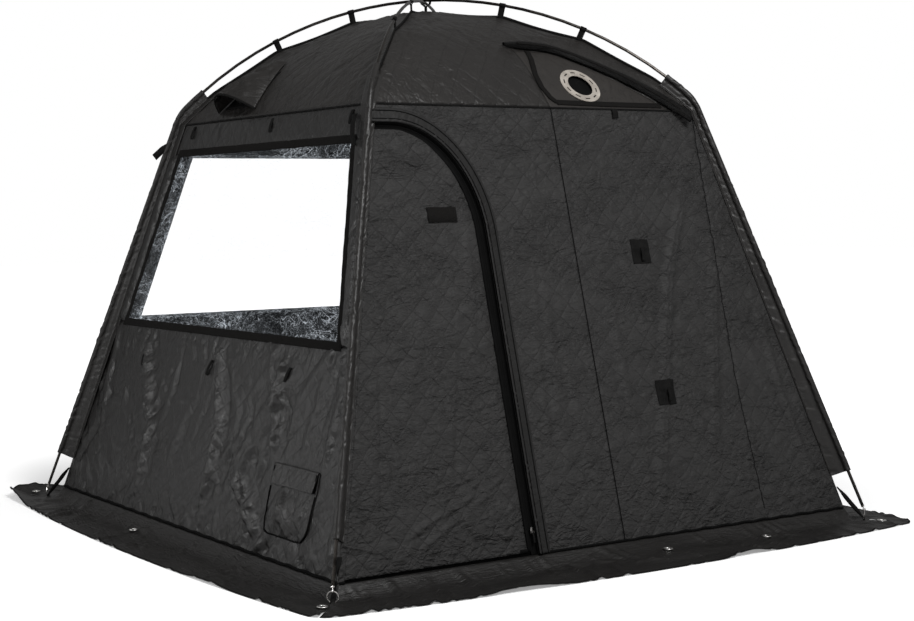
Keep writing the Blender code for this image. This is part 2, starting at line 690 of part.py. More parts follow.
def make_door_frame(side):
    """Quilted panel round the door: strip at the corner, band over the top, and on to the upright seam."""
    rows, hinge_rows, turn_row = 26, 6, 17
    seam_x = SEAM_X - GAP

    def inner(t):
        row = t * rows
        if row <= hinge_rows:
            up = DOOR_TOP * row / hinge_rows
            return -wall_half(up) + DOOR_STRIP, up
        return round_door(0.0, -wall_half(DOOR_TOP) + DOOR_STRIP)((row - hinge_rows) / (rows - hinge_rows))

    def outer(t):
        row = t * rows
        if row <= hinge_rows:
            up = WALL_TOP * row / hinge_rows
            return -wall_half(up), up
        if row <= turn_row:
            start = -wall_half(WALL_TOP)
            return start + (seam_x - start) * (row - hinge_rows) / (turn_row - hinge_rows), WALL_TOP
        return seam_x, WALL_TOP * (rows - row) / (rows - turn_row)

    def fold(s, t, along, level):
        edge_fade = math.sin(math.pi * s)
        return edge_fade * crease(along, level, (-0.16, 0.10), (-0.10, 1.15), 0.10, 0.008)

    cloth("door_wall_frame", QUILTED, side, wall_point, (inner, outer), 4, rows, QUILT, fold=fold)


def make_door_flap(side):
    """Quilted door, hung on its slanting left edge."""
    edge = round_door(-ZIP_CHANNEL, 0.0)
    low_share = 1.0 - 0.45 * DOOR_SILL / DOOR_ARCH_UP

    def free(t):
        return edge(0.1 + (low_share - 0.1) * t)

    def hinge(t):
        up = free(t)[1]
        return -wall_half(up) + DOOR_STRIP + GAP, up

    def fold(s, t, along, level):
        height = crease(along, level, (-0.80, 0.20), (-0.52, 1.10), 0.09, 0.008)
        height += crease(along, level, (-0.42, 0.12), (-0.62, 0.62), 0.08, 0.007)
        return height * min(1.0, 6.0 * s, 6.0 * (1.0 - s))

    flap = cloth("door_flap", QUILTED, side, wall_point, (hinge, free), 8, 18, QUILT, fold=fold)
    move_origin(flap, wall_point(-wall_half(0.0) + DOOR_STRIP + GAP, 0.0, 0.0))


def make_storm_flap(side):
    """Band over the zip, sewn to the cloth round the door."""
    inner_edge = round_door(GAP, -wall_half(DOOR_TOP) + GAP)
    outer_edge = round_door(STORM_WIDTH, -wall_half(DOOR_TOP + STORM_WIDTH) + GAP)

    def fold(s, t, along, level):
        ground = crease(along, level, (-0.16, 0.10), (-0.10, 1.15), 0.10, 0.008)
        return ground + 0.003 * math.sin(math.pi * s) * bump(2.0 * t - 1.0)

    cloth("storm_flap", PLAIN, side, wall_point, (inner_edge, outer_edge), 3, 20, CLOTH, lift=CLOTH + GAP, fold=fold)


def make_zip(side):
    """Zip tape in the channel round the door, with its slider and the slider's pull."""
    start = -wall_half(DOOR_TOP) + DOOR_STRIP + GAP
    edges = (round_door(GAP - ZIP_CHANNEL, start), round_door(-GAP, start))
    sunk = ZIP_TAPE - QUILT
    cloth("zip_tape", STRAPPING, side, wall_point, edges, 2, 20, ZIP_TAPE, lift=sunk)
    x = DOOR_ARCH_X + DOOR_ARCH_SPAN - ZIP_CHANNEL / 2.0
    frame = wall_matrix(x, SLIDER_UP, sunk + GAP)
    half, long = SLIDER_WIDTH / 2.0, SLIDER_LENGTH / 2.0
    body = [(half, -long), (half, long * 0.4), (half * 0.5, long), (-half * 0.5, long), (-half, long * 0.4)]
    body.append((-half, -long))
    slider = flat_piece("zip_slider", [body], SLIDER_HEIGHT, STEEL, side, frame)
    cheek = 0.0016
    pin_height = SLIDER_HEIGHT + SLIDER_PIN / 2.0 + WEBBING + 3.0 * GAP
    inside = PULL_WIDTH / 2.0 + GAP
    for index, x_side in enumerate((inside, -inside - cheek)):
        wing = [(cheek, -0.003), (cheek, 0.003), (0.0, 0.003), (0.0, -0.003)]
        raised = frame @ Matrix.Translation((x_side, -long * 0.4, SLIDER_HEIGHT / 2.0))
        height = pin_height + SLIDER_PIN / 2.0 + GAP - SLIDER_HEIGHT / 2.0
        combine(slider, flat_piece("cheek_%d" % index, [wing], height, STEEL, side, raised), "UNION")
    across = Matrix.Translation((-inside - cheek / 2.0, -long * 0.4, pin_height))
    across = frame @ across @ Matrix.Rotation(math.radians(90.0), 4, "Y")
    bar_length = 2.0 * inside + cheek
    bar = [(0.0, bar_length), (SLIDER_PIN / 2.0, bar_length), (SLIDER_PIN / 2.0, 0.0), (0.0, 0.0)]
    combine(slider, turned("slider_bar", bar, 10, STEEL, side, across), "UNION")
    eye = SLIDER_PIN / 2.0 + GAP
    hang = frame @ Matrix.Translation((0.0, -long * 0.4, pin_height)) @ Matrix.Rotation(math.radians(90.0), 4, "Y")
    ply = WEBBING / 2.0
    keyhole("zip_pull", eye, (-ply, ply), PULL_LENGTH, PULL_WIDTH, STRAPPING, side, hang)


def make_door_far_panel(side):
    """Quilted panel from the upright seam to the right corner, with two guy patches."""
    edges = (line((SEAM_X + GAP, 0.0), (SEAM_X + GAP, WALL_TOP)), wall_edge(1.0, 0.0, WALL_TOP))

    def fold(s, t, along, level):
        height = crease(along, level, (0.52, 0.16), (0.46, 1.25), 0.085, 0.012)
        height += crease(along, level, (0.16, 0.10), (0.13, 0.95), 0.08, 0.008)
        return height + crease(along, level, (0.86, 0.05), (0.62, 1.00), 0.07, 0.008)

    cloth("door_wall_panel", QUILTED, side, wall_point, edges, 12, 12, QUILT, fold=fold)
    for name, up in zip(("guy_patch_low", "guy_patch_high"), PATCH_UPS):
        x, y = PATCH_WIDTH / 2.0, PATCH_HEIGHT / 2.0
        square = [(x, -y), (x, y), (-x, y), (-x, -y)]
        seat = wall_matrix(PATCH_X, up, GAP)
        patch = flat_piece(name, [square], CLOTH, STRAPPING, side, seat)
        bpy.ops.mesh.primitive_cone_add(vertices=4, radius1=PATCH_WIDTH * 0.45, radius2=0.006, depth=PATCH_LOOP_HEIGHT)
        cone = bpy.context.object
        mesh = cone.data
        bpy.data.objects.remove(cone)
        mesh.transform(Matrix.Rotation(math.radians(45.0), 4, "Z"))
        top = seat @ Matrix.Translation((0.0, 0.0, CLOTH / 2.0 + PATCH_LOOP_HEIGHT / 2.0))
        combine(patch, place(name + "_fold", mesh, STRAPPING, side, top), "UNION")


def window_outline(spread):
    """Corners of the window, spread out from the edge of its pane."""
    low, high = WINDOW_LOW - spread, WINDOW_HIGH + spread
    right_low, right_high = (wall_half(level) - WINDOW_MARGIN + spread for level in (low, high))
    return [(right_low, low), (right_high, high), (-right_high, high), (-right_low, low)]


def make_window_wall(name, side, across, folds):
    """Quilted wall with a clear pane in its cut-out and a touch-tape border over the joint."""
    edges = (wall_edge(-1.0, 0.0, WALL_TOP), wall_edge(1.0, 0.0, WALL_TOP))

    def fold(s, t, along, level):
        return sum(crease(along, level, *line) for line in folds)

    wall = cloth(name + "_wall", QUILTED, side, wall_point, edges, across, 13, QUILT, fold=fold)
    depth = 10.0 * QUILT
    hole = flat_piece(name + "_hole", [window_outline(GAP)], depth, PLAIN, side, wall_matrix(0.0, 0.0, -depth / 2.0))
    combine(wall, hole, "DIFFERENCE")
    flat_piece(name + "_pane", [window_outline(0.0)], PANE, CLEAR_PVC, side, wall_matrix(0.0, 0.0, -GAP - PANE))
    half = BORDER_WIDTH / 2.0
    outlines = [window_outline(half), window_outline(-half)]
    flat_piece(name + "_border", outlines, WEBBING, TOUCH_TAPE, side, wall_matrix(0.0, 0.0, GAP))


def make_inlet(side):
    """Air inlet pouch sewn low on the window wall, with a flap hung on its top edge."""
    def half_width(level):
        rise = min(1.0, (level - POUCH_LOW) / POUCH_CORNER)
        return POUCH_HALF - POUCH_CORNER * (1.0 - math.sqrt(1.0 - (1.0 - rise) ** 2)) * 0.8

    def pouch_edge(sign):
        def edge(t):
            level = POUCH_LOW + (POUCH_HIGH - POUCH_LOW) * t ** 1.5
            return POUCH_X + sign * half_width(level), level
        return edge

    def puff(s, t, along, level):
        rise = (level - POUCH_LOW) / (POUCH_PUFF_HIGH - POUCH_LOW)
        return 0.012 * math.sin(math.pi * s) * math.sin(math.pi * rise) if rise < 1.0 else 0.0

    edges = (pouch_edge(-1.0), pouch_edge(1.0))
    cloth("inlet_pouch", PLAIN, side, wall_point, edges, 8, 8, CLOTH, lift=CLOTH + GAP, fold=puff)
    edges = tuple(line((POUCH_X + sign * FLAP_HALF, FLAP_HIGH), (POUCH_X + sign * FLAP_HALF * 0.97, FLAP_LOW))
                  for sign in (-1.0, 1.0))
    under = CLOTH + 2.0 * GAP
    flap = cloth("inlet_flap", PLAIN, side, wall_point, edges, 6, 3, CLOTH, lift=under + CLOTH)
    move_origin(flap, wall_point(POUCH_X, FLAP_HIGH, under))


def add_tabs(gore, side, sign):
    """Tabs on the gore's left seam, each looped round the pole. sign tells the upper pole from the lower."""
    outward = Vector((-1.0, -1.0, 0.0)).normalized()
    across = Vector((1.0, -1.0, 0.0)).normalized()
    loop = POLE_DIAMETER / 2.0 + TAB_SLACK
    for index, diagonal in enumerate(TAB_DIAGONALS):
        centre = outward * diagonal + Vector((0.0, 0.0, pole_z(diagonal, sign * CROSSING / 2.0)))
        angle = math.asin(diagonal / ROOF_RADIUS)
        normal = outward * math.sin(angle) + Vector((0.0, 0.0, math.cos(angle)))
        tangent = across.cross(normal)
        turn = Matrix((across, normal, tangent)).transposed().to_4x4()
        reach = (centre.z - ridge_z(diagonal)) * math.cos(angle) + CLOTH
        stem = (GAP, GAP + 2.0 * WEBBING)
        tab = keyhole("tab_%s_%d" % (gore.name, index), loop, stem, reach, TAB_WIDTH, STRAPPING, side,
                      Matrix.Translation(centre) @ turn)
        combine(gore, tab, "UNION")


def make_roof(sides):
    """Four gores, the one over the door in two parts round the chimney panel."""
    for name, sign in (("window", 1.0), ("rear", -1.0), ("far", 1.0)):
        edges = (roof_edge(-1.0, ROOF_LOW, CROWN_HALF), roof_edge(1.0, ROOF_LOW, CROWN_HALF))
        gore = cloth("roof_gore_" + name, QUILTED, sides[name], roof_point, edges, 6, 16, QUILT)
        add_tabs(gore, sides[name], sign)
    side = sides["door"]
    seam_left, seam_right = SEAM_X - GAP, SEAM_X + GAP

    def left_seam(t):
        out = ROOF_LOW + (CROWN_HALF - ROOF_LOW) * t
        return min(seam_left, roof_half(out)), out

    edges = (roof_edge(-1.0, ROOF_LOW, CROWN_HALF), left_seam)
    gore = cloth("roof_gore_door_left", QUILTED, side, roof_point, edges, 5, 16, QUILT)
    add_tabs(gore, side, -1.0)
    top_out = SEAM_X + 4.0 * QUILT
    knee = (PANEL_KNEE_X, PANEL_OUT)

    def panel_side(t):
        if t <= 0.5:
            return seam_right, top_out + (PANEL_OUT - top_out) * t / 0.5
        if t <= 0.6:
            return seam_right + (knee[0] - seam_right) * (t - 0.5) / 0.1, PANEL_OUT
        share = (t - 0.6) / 0.4
        return knee[0] + (PANEL_RIGHT_X - knee[0]) * share, knee[1] + (ROOF_LOW - knee[1]) * share

    edges = (panel_side, roof_edge(1.0, top_out, ROOF_LOW))
    cloth("roof_gore_door_right", QUILTED, side, roof_point, edges, 4, 20, QUILT)


def make_chimney(side):
    """Heat-proof panel with its slotted metal ring, and the panel's cover rolled up along its edge."""
    clear = 2.0 * GAP
    edges = (line((SEAM_X + GAP, PANEL_OUT + clear), (SEAM_X + GAP, ROOF_LOW)),
             line((PANEL_KNEE_X - clear, PANEL_OUT + clear), (PANEL_RIGHT_X - 3.0 * clear, ROOF_LOW)))
    panel = cloth("chimney_panel", PLAIN, side, roof_point, edges, 8, 6, CLOTH)
    seat = roof_matrix(RING_X, RING_OUT, GAP)
    rim = CHIMNEY_HOLE / 2.0 + 2.0 * GAP
    bore = flat_piece("chimney_bore", [circle_points(rim, 28)], 0.04, PLAIN, side, seat @ Matrix.Translation((0, 0, -0.02)))
    combine(panel, bore, "DIFFERENCE")
    outlines = [circle_points(CHIMNEY_OUTER / 2.0, 40), circle_points(CHIMNEY_HOLE / 2.0, 28)]
    middle = (CHIMNEY_OUTER + CHIMNEY_HOLE) / 4.0
    half = math.degrees(SLOT_LENGTH / middle) / 2.0
    for index in range(CHIMNEY_SLOTS):
        angle = 360.0 * (index + 0.5) / CHIMNEY_SLOTS
        outer = arc_points(middle + SLOT_WIDTH / 2.0, angle - half, angle + half, 4)
        inner = arc_points(middle - SLOT_WIDTH / 2.0, angle + half, angle - half, 4)
        outlines.append(outer + inner)
    flat_piece("chimney_ring", outlines, CHIMNEY_PLATE, CHIMNEY_METAL, side, seat)
    make_roll(side)


def make_roll(side):
    """Cover rolled up along the top and the slanting edge of the chimney panel."""
    sides, stations = 12, 13
    slant = (ROOF_LOW - PANEL_OUT) / (PANEL_RIGHT_X - PANEL_KNEE_X)
    softness = 0.06
    lift = ROLL_HALF_HEIGHT + GAP
    centres = []
    for index in range(stations):
        along = ROLL_START_X + (ROLL_END_X - ROLL_START_X) * index / (stations - 1)
        past = along - PANEL_KNEE_X
        drop = (past + math.hypot(past, softness)) / 2.0 * slant
        centres.append((along, PANEL_OUT - ROLL_HALF_WIDTH + drop))
    bm = bmesh.new()
    rings = []
    for index, (along, out) in enumerate(centres):
        before, after = centres[max(0, index - 1)], centres[min(stations - 1, index + 1)]
        travel = (roof_point(after[0], after[1], lift) - roof_point(before[0], before[1], lift)).normalized()
        normal = roof_point(along, out, 1.0) - roof_point(along, out, 0.0)
        sideways = travel.cross(normal).normalized()
        normal = sideways.cross(travel)
        pinch = 1.0 - 0.18 * bump(4.0 * (index / (stations - 1)) - 1.6)
        centre = roof_point(along, out, lift)
        ring = []
        for step in range(sides):
            angle = 2.0 * math.pi * step / sides
            ray = sideways * math.cos(angle) * ROLL_HALF_WIDTH * pinch + normal * math.sin(angle) * ROLL_HALF_HEIGHT
            ring.append(bm.verts.new(centre + ray))
        rings.append(ring)
    for first, second in zip(rings, rings[1:]):
        for step in range(sides):
            after = (step + 1) % sides
            bm.faces.new((first[step], first[after], second[after], second[step]))
    bm.faces.new(rings[0])
    bm.faces.new(rings[-1])
    place("chimney_cover", mesh_from(bm, "chimney_cover"), PLAIN, side)


def make_vent(side):
    """Vent hood raised off the roof, open at its lower end, and the stay that props the mouth."""
    low, high = VENT_MOUTH_OUT, VENT_TIP_OUT
    edges = (line((VENT_X - VENT_HALF, low), (VENT_TIP_X - VENT_TIP_HALF, high)),
             line((VENT_X + VENT_HALF, low), (VENT_TIP_X + VENT_TIP_HALF, high)))

    def hood_height(share):
        return 0.008 + VENT_HEIGHT * (1.0 - share) ** 0.8

    def fold(s, t, along, level):
        height, width = hood_height(t), 2.0 * (VENT_HALF + (VENT_TIP_HALF - VENT_HALF) * t)
        rim = CLOTH * math.cos(math.atan(3.6 * height / width))
        return rim + height * (1.0 - (2.0 * s - 1.0) ** 2)

    cloth("vent_hood", PLAIN, side, roof_point, edges, 10, 6, CLOTH, lift=GAP, fold=fold)
    seat = roof_matrix(VENT_X, STAY_OUT, GAP)
    half, plate = STAY_WIDTH / 2.0, WEBBING / 2.0
    upright = Matrix.Rotation(math.radians(90.0), 4, "X")
    batten = [(half, 0.0), (half, STAY_LENGTH), (-half, STAY_LENGTH), (-half, 0.0)]
    flat_piece("vent_stay", [batten], WEBBING, STRAPPING, side, seat @ Matrix.Translation((0.0, plate, 0.0)) @ upright)


def skirt_point(along_share, row):
    """Point on top of the skirt, with shares from -1 to 1 along it. Rows 0 to 2 fall to the ground, 2 to 5 lie on it."""
    nearness = abs(along_share) ** 4
    run = SKIRT_RUN + (SKIRT_RUN_CORNER - SKIRT_RUN) * nearness
    flat = SKIRT_HALF + SKIRT_BOW * (1.0 - along_share ** 2) - BASE_HALF - GAP - run
    out = BASE_HALF + GAP + (run * row / 2.0 if row <= 2.0 else run + flat * (row - 2.0) / 3.0)
    along = along_share * (out - GAP)
    slope = max(0.0, 1.0 - row / 2.0)
    z = SKIRT_THICKNESS + (WALL_FOOT_Z - 2.0 * GAP - SKIRT_THICKNESS) * slope ** 2
    core = SKIRT_HALF - SKIRT_CORNER
    past_x, past_y = abs(along) - core, out - core
    if past_x > 0.0 and past_y > 0.0:
        shrink = max(past_x, past_y) / math.hypot(past_x, past_y)
        along = math.copysign(core + past_x * shrink, along)
        out = core + past_y * shrink
    return along, out, z


def make_skirt(name, side, eyelets, lifts, humps=()):
    """Skirt panel mitred at its corners, lifted at its rim and humped behind it, with riveted eyelets."""
    def rise(along, out):
        share = (out - BASE_HALF) / SKIRT_WIDTH
        curl = max(0.0, (share - SKIRT_CURL) / (1.0 - SKIRT_CURL)) ** 2
        arch = max(0.0, 4.0 * share * (1.0 - share))
        return (curl * sum(height * bump((along - centre) / width) for centre, width, height in lifts)
                + arch * sum(height * bump((along - centre) / width) for centre, width, height in humps))

    bm = bmesh.new()
    bmesh.ops.create_grid(bm, x_segments=24, y_segments=5, size=0.5)
    for vert in bm.verts:
        along, out, z = skirt_point(2.0 * vert.co.x, round(5.0 * (vert.co.y + 0.5)))
        vert.co = (along, -out, z + rise(along, out))
    faces = bm.faces[:]
    under = bmesh.ops.extrude_face_region(bm, geom=faces)
    lower = [item for item in under["geom"] if isinstance(item, bmesh.types.BMVert)]
    bmesh.ops.translate(bm, verts=lower, vec=(0.0, 0.0, -SKIRT_THICKNESS))
    skirt = place("skirt_" + name, mesh_from(bm, "skirt_" + name), SKIRT, side)
    corner = SKIRT_HALF - EYELET_CORNER_INSET
    places = [(along, SKIRT_HALF - EYELET_INSET) for along in eyelets] + [(corner - EYELET_MITRE, corner)]
    for index, (along, out) in enumerate(places):
        disc_height = SKIRT_THICKNESS / 2.0 + EYELET_HEIGHT
        seat = Matrix.Translation((along, -out, SKIRT_THICKNESS / 2.0 + rise(along, out)))
        profile = [(0.0, disc_height), (EYELET_RADIUS * 0.75, disc_height), (EYELET_RADIUS, 0.0), (0.0, 0.0)]
        combine(skirt, turned("eyelet_%s_%d" % (name, index), profile, 12, STEEL, side, seat), "UNION")
        hole = flat_piece("hole_%s_%d" % (name, index), [circle_points(EYELET_HOLE, 10)], 0.08, STEEL, side,
                          Matrix.Translation((along, -out, -0.01)))
        combine(skirt, hole, "DIFFERENCE")


def make_far_wall(side):
    """Quilted wall with no openings."""
    edges = (wall_edge(-1.0, 0.0, WALL_TOP), wall_edge(1.0, 0.0, WALL_TOP))

    def fold(s, t, along, level):
        height = crease(along, level, (-0.50, 0.08), (-0.34, 1.20), 0.11, 0.012)
        return height + crease(along, level, (0.40, 0.06), (0.34, 1.10), 0.11, 0.012)

    cloth("far_wall", QUILTED, side, wall_point, edges, 14, 8, QUILT, fold=fold)


for corner, parent in CORNERS.items():
    make_leg(corner, parent)
    make_elbow(corner, parent)
    make_pin(corner, parent)
    make_ring(corner, parent)
    make_strap(corner, parent)
    make_sleeve(corner, parent)
make_roof_pole("roof_pole_upper", CROSSING / 2.0, CORNERS["right"])
make_roof_pole("roof_pole_lower", -CROSSING / 2.0, CORNERS["front"])
make_crown_tie()
make_door_frame(SIDES["door"])
make_door_flap(SIDES["door"])
make_storm_flap(SIDES["door"])
make_zip(SIDES["door"])
make_door_far_panel(SIDES["door"])
make_window_wall("window", SIDES["window"], 20, WINDOW_FOLDS)
make_inlet(SIDES["window"])
make_window_wall("rear", SIDES["rear"], 14, REAR_FOLDS)
make_far_wall(SIDES["far"])
make_roof(SIDES)
make_chimney(SIDES["door"])
make_vent(SIDES["window"])
make_skirt("door", SIDES["door"], (0.14, 0.58), ((0.36, 0.14, 0.016), (-0.55, 0.22, 0.008)), ((0.16, 0.30, 0.022),))
make_skirt("window", SIDES["window"], (-0.19,), ((0.45, 0.20, 0.012), (-SKIRT_HALF, 0.35, 0.032)))
make_skirt("rear", SIDES["rear"], (-0.19,), ((0.42, 0.20, 0.010), (SKIRT_HALF, 0.35, 0.032)))
make_skirt("far", SIDES["far"], (-0.19,), ((0.42, 0.20, 0.010),))
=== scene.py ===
"""Looks of the sauna tent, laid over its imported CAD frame.

Metres, +Z up, origin on the ground under the crown. The door wall faces -Y and the window wall -X.
"""

import math

import bmesh
import bpy
import numpy as np
from mathutils import Matrix, Vector


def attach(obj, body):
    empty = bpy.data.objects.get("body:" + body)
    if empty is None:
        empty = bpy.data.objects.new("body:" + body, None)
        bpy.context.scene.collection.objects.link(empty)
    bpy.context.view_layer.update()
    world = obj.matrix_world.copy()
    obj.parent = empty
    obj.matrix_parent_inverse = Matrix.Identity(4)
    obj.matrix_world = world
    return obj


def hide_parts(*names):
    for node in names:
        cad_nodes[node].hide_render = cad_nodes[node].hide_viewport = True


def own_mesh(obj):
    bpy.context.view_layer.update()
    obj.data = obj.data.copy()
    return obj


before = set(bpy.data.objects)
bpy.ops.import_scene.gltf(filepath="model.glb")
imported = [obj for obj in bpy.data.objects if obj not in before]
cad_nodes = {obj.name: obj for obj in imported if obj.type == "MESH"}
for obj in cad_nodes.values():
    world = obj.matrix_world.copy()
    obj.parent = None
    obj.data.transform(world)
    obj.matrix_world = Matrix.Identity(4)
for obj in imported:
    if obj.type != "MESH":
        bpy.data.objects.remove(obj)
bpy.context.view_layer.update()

# The tent is seen from its front left corner, a little under shoulder height, with a long lens.
# The photograph is cut so that the lens axis is left of its middle.
CAMERA_PLACE = Vector((-3.472, -5.055, 1.117))
CAMERA_YAW, CAMERA_PITCH, CAMERA_ROLL = (math.radians(angle) for angle in (58.95, -3.21, -0.84))


def placed(name, data):
    """Object of a camera, lamp or mesh, in the scene and at its origin."""
    thing = bpy.data.objects.new(name, data)
    bpy.context.scene.collection.objects.link(thing)
    return thing


forward = Vector((math.cos(CAMERA_PITCH) * math.cos(CAMERA_YAW), math.cos(CAMERA_PITCH) * math.sin(CAMERA_YAW),
                  math.sin(CAMERA_PITCH)))
level_right = forward.cross(Vector((0.0, 0.0, 1.0))).normalized()
level_up = level_right.cross(forward)
camera_right = level_right * math.cos(CAMERA_ROLL) + level_up * math.sin(CAMERA_ROLL)
camera_up = level_up * math.cos(CAMERA_ROLL) - level_right * math.sin(CAMERA_ROLL)
lens = bpy.data.cameras.new("camera")
lens.sensor_width = 36.0
lens.lens = 64.6
lens.shift_x = 0.138
lens.shift_y = -0.007
camera = placed("camera", lens)
camera.matrix_world = Matrix.Translation(CAMERA_PLACE) @ Matrix(
    (camera_right, camera_up, -forward)).transposed().to_4x4()
bpy.context.scene.camera = camera
bpy.context.scene.view_settings.view_transform = "Standard"

# Plain studio: a pale floor, a white surround that metal and clear film also show, and soft boxes.
# The large box rakes down over the door wall and the roof, and the small ones put satin lights on the window wall.
WHITE = (1.0, 1.0, 1.0, 1.0)
SURROUND_ON_CLOTH, SURROUND_IN_GLOSS = 0.26, 0.04
FLOOR_HALF, FLOOR_COLOUR = 30.0, (0.93, 0.93, 0.93, 1.0)
SHADOW_REACH, OPEN_REACH = 1.5, 2.7


def maths(tree, operation, *values):
    """Math node fed by sockets or numbers. Gives its output."""
    node = tree.nodes.new("ShaderNodeMath")
    node.operation = operation
    for index, value in enumerate(values):
        if hasattr(value, "is_linked"):
            tree.links.new(value, node.inputs[index])
        else:
            node.inputs[index].default_value = value
    return node.outputs[0]


def ranged(tree, value, low, high, to_low, to_high):
    """Map Range node with its ends held."""
    node = tree.nodes.new("ShaderNodeMapRange")
    tree.links.new(value, node.inputs["Value"])
    for key, number in (("From Min", low), ("From Max", high), ("To Min", to_low), ("To Max", to_high)):
        node.inputs[key].default_value = number
    return node.outputs["Result"]


def new_finish(name, roughness, metallic=0.0, specular=0.5):
    """Fresh material. Gives it with its node tree and shader."""
    material = bpy.data.materials.new(name)
    material.use_nodes = True
    shader = material.node_tree.nodes["Principled BSDF"]
    shader.inputs["Roughness"].default_value = roughness
    shader.inputs["Metallic"].default_value = metallic
    shader.inputs["Specular IOR Level"].default_value = specular
    return material, material.node_tree, shader


def object_place(tree):
    return tree.nodes.new("ShaderNodeTexCoord").outputs["Object"]


def mesh_of(name, bm):
    """Mesh of a bmesh, which ends there."""
    mesh = bpy.data.meshes.new(name)
    bm.to_mesh(mesh)
    bm.free()
    return mesh


def soft_box(name, place, target, width, height, watts):
    light = bpy.data.lights.new(name, "AREA")
    light.shape = "RECTANGLE"
    light.size, light.size_y = width, height
    light.energy = watts
    lamp = placed(name, light)
    lamp.location = place
    lamp.rotation_euler = (Vector(target) - Vector(place)).to_track_quat("-Z", "Y").to_euler()


world = bpy.data.worlds.new("surround")
bpy.context.scene.world = world
world.use_nodes = True
sky = world.node_tree
surround = sky.nodes["Background"]
rays = sky.nodes.new("ShaderNodeLightPath").outputs
straight = maths(sky, "MAXIMUM", rays["Is Camera Ray"], rays["Is Transmission Ray"])
glossy = maths(sky, "MULTIPLY", rays["Is Glossy Ray"], SURROUND_IN_GLOSS)
power = ranged(sky, maths(sky, "MAXIMUM", straight, glossy), 0.0, 1.0, SURROUND_ON_CLOTH, 1.0)
surround.inputs["Color"].default_value = WHITE
sky.links.new(power, surround.inputs["Strength"])

soft_box("box_top", (-0.5, -4.9, 4.9), (0.15, -0.4, 0.9), 1.8, 2.6, 320.0)
soft_box("box_left", (-5.2, 0.6, 2.4), (-0.9, 0.0, 0.8), 0.8, 1.6, 52.0)
soft_box("box_sheen", (-2.3, 1.0, 0.95), (-1.0, -1.0, 0.5), 0.5, 1.3, 3.2)

bm = bmesh.new()
bmesh.ops.create_grid(bm, x_segments=2, y_segments=2, size=FLOOR_HALF)
floor = placed("floor", mesh_of("floor", bm))
paper, tree, shader = new_finish("studio_paper", 0.9, specular=0.1)
shader.inputs["Base Color"].default_value = FLOOR_COLOUR
shader.inputs["Emission Color"].default_value = WHITE
floor_reach = tree.nodes.new("ShaderNodeVectorMath")
floor_reach.operation = "LENGTH"
tree.links.new(object_place(tree), floor_reach.inputs[0])
paper_white = ranged(tree, floor_reach.outputs["Value"], SHADOW_REACH, OPEN_REACH, 0.30, 0.85)
paper_white.node.interpolation_type = "SMOOTHSTEP"
rays = tree.nodes.new("ShaderNodeLightPath").outputs
tree.links.new(maths(tree, "MULTIPLY", rays["Is Camera Ray"], paper_white), shader.inputs["Emission Strength"])
floor.data.materials.append(paper)

# Two tubes bent over the roof, crossing at the crown, with a shoulder elbow and a straight leg at each end.
# They are drawn metal with a clear oxide skin, so they shine along their length and dull where hands grip them.


def noise(tree, place, scale, detail=3.0, roughness=0.55, distortion=0.0):
    """Noise value on a coordinate."""
    node = tree.nodes.new("ShaderNodeTexNoise")
    node.inputs["Scale"].default_value = scale
    node.inputs["Detail"].default_value = detail
    node.inputs["Roughness"].default_value = roughness
    node.inputs["Distortion"].default_value = distortion
    tree.links.new(place, node.inputs["Vector"])
    return node.outputs["Fac"]


def blend_colour(tree, share, dark, light):
    """Mix of two colours, by a share from 0 to 1."""
    node = tree.nodes.new("ShaderNodeMix")
    node.data_type = "RGBA"
    tree.links.new(share, node.inputs["Factor"])
    for key, colour in (("A", dark), ("B", light)):
        socket = next(item for item in node.inputs if item.name == key and item.type == "RGBA")
        if hasattr(colour, "is_linked"):
            tree.links.new(colour, socket)
        else:
            socket.default_value = (*colour, 1.0)
    return next(item for item in node.outputs if item.type == "RGBA")


def bumped(tree, shader, height):
    """Bump of a height in metres on a shader's normal."""
    node = tree.nodes.new("ShaderNodeBump")
    node.inputs["Strength"].default_value = 1.0
    node.inputs["Distance"].default_value = 1.0
    tree.links.new(height, node.inputs["Height"])
    tree.links.new(node.outputs["Normal"], shader.inputs["Normal"])


def metal_finish(name, dark, light, smooth, dull, grain):
    """Worn bare metal: blotches of tarnish in colour and gloss, and a fine grain."""
    material, tree, shader = new_finish(name, smooth, metallic=1.0)
    place = object_place(tree)
    blotch = noise(tree, place, 22.0, 4.0)
    fine = noise(tree, place, 420.0, 2.0)
    share = ranged(tree, blotch, 0.3, 0.7, 0.0, 1.0)
    tree.links.new(blend_colour(tree, share, dark, light), shader.inputs["Base Color"])
    tree.links.new(ranged(tree, blotch, 0.3, 0.75, smooth, dull), shader.inputs["Roughness"])
    bumped(tree, shader, maths(tree, "MULTIPLY", fine, grain))
    return material


def dress(starts, material):
    """New material on the solids whose names begin so. Their meshes stay as they are."""
    for name, node in cad_nodes.items():
        if name.startswith(starts):
            node.data.materials.clear()
            node.data.materials.append(material)


pole_metal = metal_finish("pole_metal", (0.024, 0.021, 0.019), (0.070, 0.064, 0.058), 0.22, 0.36, 0.00006)
dress(("pole_leg", "pole_elbow", "roof_pole"), pole_metal)

